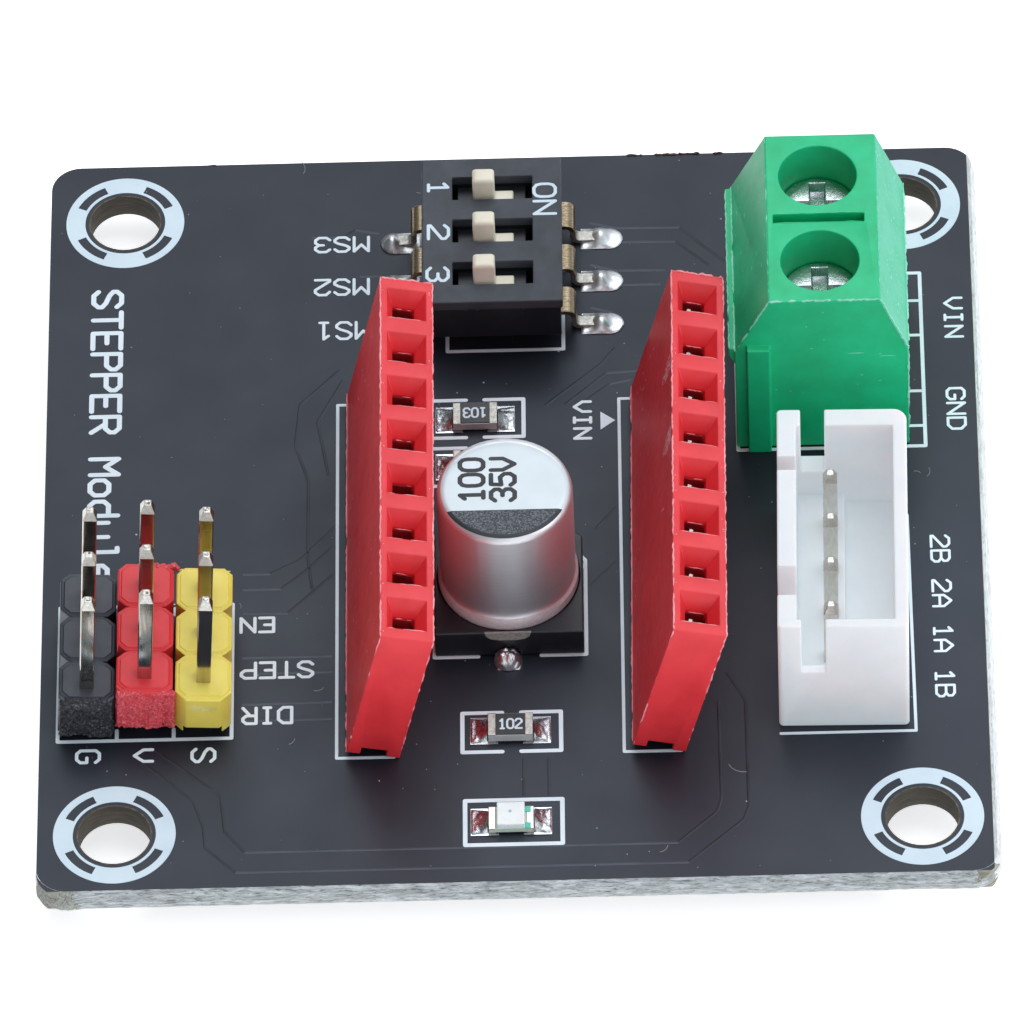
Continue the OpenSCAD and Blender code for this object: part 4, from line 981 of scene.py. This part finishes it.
def signal_trim(bm, place, low, high):
    """The yellow strip's caps, the bridges between them and the rubbed places at its two ends."""
    block_caps(bm, place, high, -3.7, 3.7, 0)
    burr(bm, (-1.15, 3.6, high - 0.03), (-0.3, 3.66, high - 0.06), 0.1, 71, 0.12, 0.9, place=place)
    burr(bm, (0.3, 3.6, high - 0.04), (1.15, 3.6, high - 0.04), 0.06, 72, 0.12, 0.9, place=place)
    for x, y in ((-0.62, -1.27), (0.62, -1.27), (-0.62, 1.27), (0.62, 1.27)):
        block(bm, x - 0.2, y - 0.1, x + 0.2, y + 0.1, high - 0.02, 0.06, 0, place)
    torn_face(bm, place, -0.62, 0.62, high - 0.75, high - 0.42, -3.8, 0.05, 9.0, back=0.03, steps=(22, 8),
              material=1)
    return "flash_signal", [YELLOW, YELLOW_PALE]


# name, column, shift to the side, gap under the strip, finish, slot, trim
STRIPS = [("ground", -1, -0.1, 0.04, HEADER_BLACK, "black_plastic", ground_trim),
          ("power", 0, -0.1, 0.66, RED, "red_plastic", power_trim),
          ("signal", 1, -0.03, 0.28, YELLOW, "yellow_plastic", signal_trim)]
for name, column, shift, gap, finish, slot, trim in STRIPS:
    refine(f"header_{name}", f"header_body_{name}", finish, slot, 0.06)
    refine(f"pins_{name}", f"header_pins_{name}", TIN, "tinned_copper", 0.05, 20,
           recolour=(TIN_TIP, lambda c, n: c.z > 8.6 and n.z > 0.3))
    pin_tips(f"pins_{name}", 200 + 3 * column)
    low = foot_level(1.25, HEADER_LEAN, gap)
    bm = bmesh.new()
    piece, finishes = trim(bm, lean_frame(HEADER.x + column * PITCH + shift, HEADER.y, HEADER_LEAN),
                           low, low + HEADER_TALL)
    make_piece(piece, bm, finishes, slot)


# ---------- step switch ----------

SWITCH = Vector((-0.88, 13.55, TOP))
refine("switch_base", "switch_body", BLACK, "black_plastic", 0.04)
refine("switch_cover", "switch_lid", BLACK_MATT, "black_plastic", 0.07)
refine("switch_leads", "switch_lead_frames", LEAD, "tinned_copper", 0.03,
       recolour=(TIN_DULL, lambda c, n: c.z < TOP + 0.4))
for n in (1, 2, 3):
    refine(f"switch_slider_{n}", f"knob_{n}", CREAM, "cream_plastic", 0.09, segments=3)
    dress(f"switch_wiper_{n}", GOLD)


def switch_trim():
    """The lettering on the step switch, two pale lines along the seam at its front, and the rubbed edges of
    its cover.
    """
    lid = TOP + 3.8
    bm = bmesh.new()
    for words, box in (("1", (-3.81, 15.75, -2.78, 16.6)), ("2", (-3.82, 13.0, -2.76, 13.95)),
                       ("3", (-3.89, 10.5, -2.78, 11.42)), ("ON", (0.98, 14.35, 2.1, 16.29))):
        write(bm, words, box, -90, lid, 0.15, thick=0.012)
    make_piece("switch_print", bm, [INK], "black_plastic")
    bm = bmesh.new()
    front = SWITCH.y - 4.28
    # Two pale lines along the seam between the cover and the base, at the front.
    burr(bm, (-4, front, TOP + 3.24), (2.2, front, TOP + 3.24), 0.03, 81, 0.16, 0.7)
    burr(bm, (-3.9, front + 0.1, TOP + 2.9), (2, front + 0.1, TOP + 2.9), 0.025, 82, 0.2, 0.45)
    low, high = (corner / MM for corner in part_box("switch_cover"))
    rim = lid - 0.03
    for k, x in enumerate((low.x + 0.02, high.x - 0.02)):
        burr(bm, (x, front + 0.1, rim), (x, high.y - 0.05, rim), 0.022, 84 + k, 0.2, 0.8)
    for y, r, seed, share in ((high.y - 0.02, 0.03, 86, 0.7), (front + 0.03, 0.022, 87, 0.5)):
        burr(bm, (low.x + 0.1, y, rim), (high.x - 0.1, y, rim), r, seed, 0.2, share)
    make_piece("switch_seam_and_rim_lines", bm, [BLACK_TORN], "black_plastic")


def foot_solder():
    """Solder on the step switch's pads: thin towards the round end, heaped round the foot."""
    bm = bmesh.new()
    length, half = 1.93, 0.6
    for side, row in ((side, row) for side in (-1, 1) for row in (-1, 0, 1)):
        dice = random.Random(90 + 5 * side + row)
        lift, skew = dice.uniform(0.8, 1.2), dice.uniform(-0.1, 0.1)
        place = (Matrix.Translation((SWITCH.x + 0.35 + side * 3.6, SWITCH.y + row * PITCH, TOP + 0.045))
                 @ Matrix.Diagonal((side, 1, 1, 1)))
        foot = 0.9 if side > 0 else 1.4      # from the pad's inner end to the lead's foot
        def half_w(u):
            tip = max(0.0, (u * length - length + half) / half)
            return half * math.sqrt(max(0.02, 1 - tip * tip))
        def height(u, v):
            past = u * length - foot
            heap = 0.4 * lift * math.exp(-(past / 0.4) ** 2) * math.exp(-((v - skew) / 0.8) ** 2)
            film = 0.08 * math.sqrt(max(0.0, 1 - v * v))
            dip = -0.05 * math.exp(-((past - 0.42) / 0.14) ** 2) * math.exp(-(v / 0.3) ** 2)
            return film + heap + dip + 0.015 * noise.noise(Vector((u * 9, v * 5, side + row * 3)))
        mound(bm, length, half_w, height, place, (22, 14))
    make_piece("switch_solder", bm, [SOLDER_SATIN], "solder", smooth=60)


switch_trim()
foot_solder()


# ---------- supply terminal ----------

TERM = Vector((10, 8.45, TOP))
# faces that look right and up take the greyer green
refine("terminal_housing", "terminal_shell", GREEN, "green_plastic", 0.06,
       recolour=(GREEN_RIGHT_SLOPE, lambda c, n: n.x > 0.6 and n.z > 0.2))
for n in (1, 2):
    refine(f"terminal_screw_{n}", f"clamp_screw_{n}", ZINC, "zinc_plate", 0.06, segments=3)
    dress(f"terminal_cage_{n}", ZINC)
    dress(f"terminal_contact_{n}", GOLD)


def terminal_wear():
    """Pale scuffs along the housing's edges and on its faces, and two ridges between the screw wells."""
    bm = bmesh.new()
    front, back = TERM.y - 4.9, TERM.y + 4.9
    roof = [(10, 6.65), (11.55, 10), (16.5, 10), (17.75, 6.6)]      # x and height, from left to right
    for k, (corner, r, share) in enumerate(((0, 0.08, 0.95), (3, 0.09, 0.95), (2, 0.035, 0.6),
                                            (1, 0.035, 0.5))):
        x, z = roof[corner]
        burr(bm, (x, front + 0.03, TOP + z), (x, back - 0.03, TOP + z), r, 100 + k, 0.14, share)
    for (xa, za), (xb, zb) in zip(roof, roof[1:]):
        burr(bm, (xa, front + 0.02, TOP + za), (xb, front + 0.02, TOP + zb), 0.07, int(110 + xa), 0.12, 0.92)
    burr(bm, (17.75, front + 0.02, TOP + 0.2), (17.75, front + 0.02, TOP + 6.4), 0.08, 120, 0.16, 0.9)
    burr(bm, (9.74, front + 0.2, TOP + 6.62), (9.74, back - 0.2, TOP + 6.62), 0.06, 121, 0.16, 0.95)
    for k, y in enumerate((TERM.y - 0.27, TERM.y + 0.27)):
        burr(bm, (11.9, y, TOP + 9.99), (15.8, y, TOP + 9.99), 0.03 + 0.02 * k, 123 + k, 0.2, 0.96, 1)
    def roof_face(lower, upper):
        """Local X runs to the rear, local Y up the slope and local Z out of the roof."""
        (xa, za), (xb, zb) = lower, upper
        rise = Vector((xb - xa, 0, zb - za)).normalized()
        out = Vector((-rise.z, 0, rise.x)) * (1 if xb > xa else -1)
        return axes_frame(((xa + xb) / 2, TERM.y, TOP + (za + zb) / 2), (0, 1, 0), rise, out)
    rubs(bm, roof_face(roof[3], roof[2]), (-4.7, -1.6, 4.7, 1.7), 40, 0.16, 400)
    rubs(bm, roof_face(roof[0], roof[1]), (-4.7, -1.7, 4.7, 1.6), 26, 0.16, 401)
    front_face = upright_frame(TERM.x, front, TOP)
    rubs(bm, front_face, (4.0, 6.1, 7.2, 6.5), 5, 0.34, 402)
    rubs(bm, front_face, (0.8, 1.0, 7.4, 9.3), 14, 0.07, 403)
    make_piece("terminal_scuffs", bm, [GREEN_PALE, GREEN], "green_plastic")


terminal_wear()


# ---------- motor socket ----------

refine("motor_socket", "motor_shroud", WHITE_WITH_PAINTED_GLOW, "white_plastic", 0.07)
# The motor pins take the paler tin, a painted reflection of the white shroud.
refine("motor_pins", "motor_contacts", PALE_TIN_AND_PAINTED_REFLECTION, "tinned_copper", 0.05, 20,
       recolour=(TIN_TIP, lambda c, n: c.z > 6.2 and n.z > 0.3))


# ---------- capacitor ----------

CAP = Vector((-0.3, -4.87, TOP))
CAN_R = 3.015
CAN_TOP_Z = 7.75      # over the board
FILLET = 0.4          # of the can's top rim
refine("capacitor_base", "capacitor_foot", BLACK, "black_plastic", 0.06)
refine("capacitor_can", "can_shell", CAN, "can_aluminium", 0.02, 40, 1,
       recolour=(CAN_RIM, lambda c, n: c.z < TOP + 2.25))
dress("capacitor_seal", RUBBER)
dress("capacitor_winding", FOIL)
dress("capacitor_leads", TIN)


def can_drop(r):
    """How far the can's rounded rim lies below its top at radius r."""
    past = r - (CAN_R - FILLET)
    return 0.0 if past <= 0 else FILLET - math.sqrt(max(0.0, FILLET ** 2 - past ** 2))


def top_sheet(bm, radius, chord, lift, rows, material, above):
    """A sheet on the can's top, on one side of a chord."""
    count = 72
    start = math.asin(chord / radius)
    first, last = (start, math.pi - start) if above else (math.pi - start, 2 * math.pi + start)
    half = radius * math.cos(start) * (1 if above else -1)
    grid = []
    for j in range(rows + 1):
        row = []
        for i in range(count + 1):
            s = i / count
            a = first + (last - first) * s
            on_rim = Vector((radius * math.cos(a), radius * math.sin(a)))
            p = Vector((half * (1 - 2 * s), chord)).lerp(on_rim, j / rows)
            z = CAP.z + CAN_TOP_Z - can_drop(p.length) + lift
            row.append(bm.verts.new((CAP.x + p.x, CAP.y + p.y, z)))
        grid.append(row)
    sheet(bm, grid, material)


def capacitor_marking():
    """The lacquered top, the dark segment that marks the negative side, and the value."""
    chord = -1.3
    bm = bmesh.new()
    top_sheet(bm, 2.82, chord, 0.006, 14, 0, True)
    top_sheet(bm, 2.86, chord, 0.02, 12, 2, False)
    top_sheet(bm, 2.7, chord - 0.03, 0.026, 12, 1, False)
    for words, x0, x1 in (("100", -2.36, -1.12), ("35V", -0.99, 0.26)):
        write(bm, words, (x0, -5.74, x1, -3.12), 90, CAP.z + CAN_TOP_Z, 0.21, thick=0.012, material=2)
    make_piece("capacitor_marking", bm, [CAN_TOP, PRINT, PRINT_DARK], "can_aluminium", smooth=30)


def can_lip():
    """The can's pale skirt, which hangs over the front of its base."""
    bm = bmesh.new()
    face = upright_frame(CAP.x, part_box("capacitor_base")[0].y / MM, TOP)
    slab(bm, [(-1.08, 1.66), (-1.0, 1.4), (-0.8, 1.24), (-0.42, 1.16), (0.32, 1.16), (0.7, 1.24), (0.9, 1.4),
              (0.98, 1.66)], -0.05, 0.1, 0, face)
    make_piece("can_lip", bm, [CAN_LIP], "can_aluminium", smooth=40)


def capacitor_solder():
    """The two drops of solder at the ends of the capacitor's leads."""
    bm = bmesh.new()
    def half_w(u):
        return 0.62 * math.sqrt(max(0.02, 1 - abs(2 * u - 1) ** 2.6))
    def height(u, v):
        dome = 0.66 * math.sqrt(max(0.0, 1 - v * v)) * (1 - abs(2 * u - 1) ** 2.4) ** 0.6
        dents = 0.16 * noise.noise(Vector((u * 4, v * 3, 8))) + 0.08 * noise.noise(Vector((u * 11, v * 8, 3)))
        return dome + dents
    for side, shift, length, steps in ((-1, -0.09, 1.1, (26, 22)), (1, 0, 1.0, (20, 16))):
        place = (Matrix.Translation((CAP.x + shift, CAP.y + side * 3.1, TOP + 0.05))
                 @ Matrix.Rotation(side * math.pi / 2, 4, "Z"))
        mound(bm, length, half_w, height, place, steps)
    make_piece("capacitor_solder", bm, [SOLDER_SATIN], "solder", smooth=60)


capacitor_marking()
can_lip()
capacitor_solder()


# ---------- chip parts ----------

CHIPS = {"a": (-1.78, 5.5), "b": (-1.78, 2.75), "c": (-0.3, -12.45)}
LAMP = (-0.3, -17.55)
for key in CHIPS:
    dress(f"resistor_{key}_body", CERAMIC)
    refine(f"resistor_{key}_coat", f"chip_coat_{key}", LACQUER, "black_lacquer", 0.015)
    refine(f"resistor_{key}_ends", f"chip_caps_{key}", TIN_DULL, "tinned_copper", 0.03)
dress("led_substrate", LAMINATE)
dress("led_die", GOLD)
refine("led_ends", "led_caps", PALE_TIN_AND_PAINTED_REFLECTION, "tinned_copper", 0.03)
refine("led_lens", "led_cover", LENS_WITH_PAINTED_GLOW, "lens_resin", 0.04)


def chip_trim():
    """The resistors' codes, what shows on and in the LED, and the solder at both ends of each chip."""
    bm = bmesh.new()
    top = TOP + 0.54
    for key, words, turn in (("a", "103", 180), ("b", "103", 180), ("c", "102", 0)):
        x, y = CHIPS[key]
        write(bm, words, (x - 0.55, y - 0.31, x + 0.55, y + 0.31), turn, top, 0.095, thick=0.006)
    make_piece("chip_codes", bm, [INK], "black_lacquer")
    bm = bmesh.new()
    x, y = LAMP
    for y0 in (y + 0.3, y - 0.6):
        block(bm, x + 0.6, y0, x + 0.86, y0 + 0.3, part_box("led_ends")[1].z / MM - 0.01, 0.03)
    make_piece("led_marks", bm, [MARK_GREEN], "led_laminate")
    bm = bmesh.new()
    # A grey dot on the lens: the die's painted shadow.
    slab(bm, [(x - 0.04 + 0.075 * math.cos(a), y + 0.1 + 0.075 * math.sin(a))
              for a in (k * math.pi / 8 for k in range(16))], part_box("led_lens")[1].z / MM - 0.01, 0.014)
    make_piece("led_die_painted_shadow", bm, [LENS_DOT], "lens_resin")
    bm = bmesh.new()
    for k, (x, y) in enumerate([*CHIPS.values(), LAMP]):
        for side in (-1, 1):
            dice = random.Random(140 + 3 * k + side)
            tall, tilt = dice.uniform(0.34, 0.46), dice.uniform(-0.35, 0.1)
            place = Matrix.Translation((x + side * 0.98, y, TOP + 0.045)) @ Matrix.Diagonal((side, 1, 1, 1))
            def half_w(u):
                return 0.62 + 0.1 * u
            def height(u, v):
                shoulder = max(0.0, 1 - abs(v - tilt) ** 3)
                slope = (1 - u) ** 2.2
                dents = 0.05 * noise.noise(Vector((u * 5, v * 4, k * 3 + side)))
                return 0.05 + tall * slope * shoulder + dents
            mound(bm, 0.8, half_w, height, place, (14, 14))
    make_piece("chip_solder", bm, [SOLDER], "solder", smooth=60)


chip_trim()


# ---------- floor, light and camera ----------

def stage():
    """The pale floor, a sky that brightens to the right, and three soft lamps."""
    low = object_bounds()[0].z
    mesh = bpy.data.meshes.new("floor")
    half = 1.6
    mesh.from_pydata([(-half, -half, low), (half, -half, low), (half, half, low), (-half, half, low)], [],
                     [(0, 1, 2, 3)])
    paper = Finish("pale_floor", Emission_Color=(1, 1, 1, 1), Emission_Strength=0.68)
    paper.paint(paper.mix(paper.noise(40), tint(250, 250, 251), tint(246, 246, 248)))
    paper.gloss(paper.ramp(paper.noise(25), (0.3, 0.8), (0.7, 0.9)))
    mesh.materials.append(paper.material)
    put("floor", mesh)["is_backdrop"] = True
    world = bpy.data.worlds.new("studio")
    bpy.context.scene.world = world
    world.use_nodes = True
    nodes, links = world.node_tree.nodes, world.node_tree.links
    way = nodes.new("ShaderNodeTexCoord")
    split = nodes.new("ShaderNodeSeparateXYZ")
    links.new(way.outputs["Generated"], split.inputs[0])
    fade = nodes.new("ShaderNodeMapRange")
    for socket, value in (("From Min", -0.9), ("From Max", 0.9), ("To Min", 0.1), ("To Max", 0.85)):
        fade.inputs[socket].default_value = value
    links.new(split.outputs[0], fade.inputs["Value"])
    nodes["Background"].inputs["Color"].default_value = (0.9, 0.95, 1.0, 1)
    links.new(fade.outputs["Result"], nodes["Background"].inputs["Strength"])
    for name, at, size, power, colour in (
            ("overhead", (0.1, 0.26, 0.75), 0.75, 4.2, (0.93, 0.965, 1.0)),
            ("right_fill", (0.7, -0.3, 0.45), 0.5, 1.3, (0.93, 0.97, 1.0)),
            ("front_fill", (0.1, -0.8, 0.35), 0.5, 1.1, (0.95, 0.97, 1.0))):
        data = bpy.data.lights.new(name, "AREA")
        data.shape = "SQUARE"
        data.size = size
        data.energy = power
        data.color = colour
        lamp = put(name, data)
        lamp.location = at
        lamp.rotation_mode = "QUATERNION"
        lamp.rotation_quaternion = Vector(at).to_track_quat("Z", "Y")


def camera():
    """The camera of the photograph, as fitted to the pins, the holes and the printed boxes."""
    elevation, azimuth, roll = (math.radians(v) for v in (50.51, 1.676, -2.658))
    target, distance = Vector((-0.156, 0.09, 1.2)) * MM, 0.5451
    back = Vector((math.sin(azimuth) * math.cos(elevation), -math.cos(azimuth) * math.cos(elevation),
                   math.sin(elevation)))
    right = Vector((math.cos(azimuth), math.sin(azimuth), 0))
    up = back.cross(right)
    across = right * math.cos(roll) + up * math.sin(roll)
    upward = up * math.cos(roll) - right * math.sin(roll)
    data = bpy.data.cameras.new("camera")
    data.sensor_width = 36
    data.lens = 427.46
    data.clip_start, data.clip_end = 0.05, 20
    eye = put("camera", data)
    eye.matrix_world = axes_frame(target + back * distance, across, upward, back)
    bpy.context.scene.camera = eye


stage()
camera()
bpy.context.scene.view_settings.view_transform = "Standard"
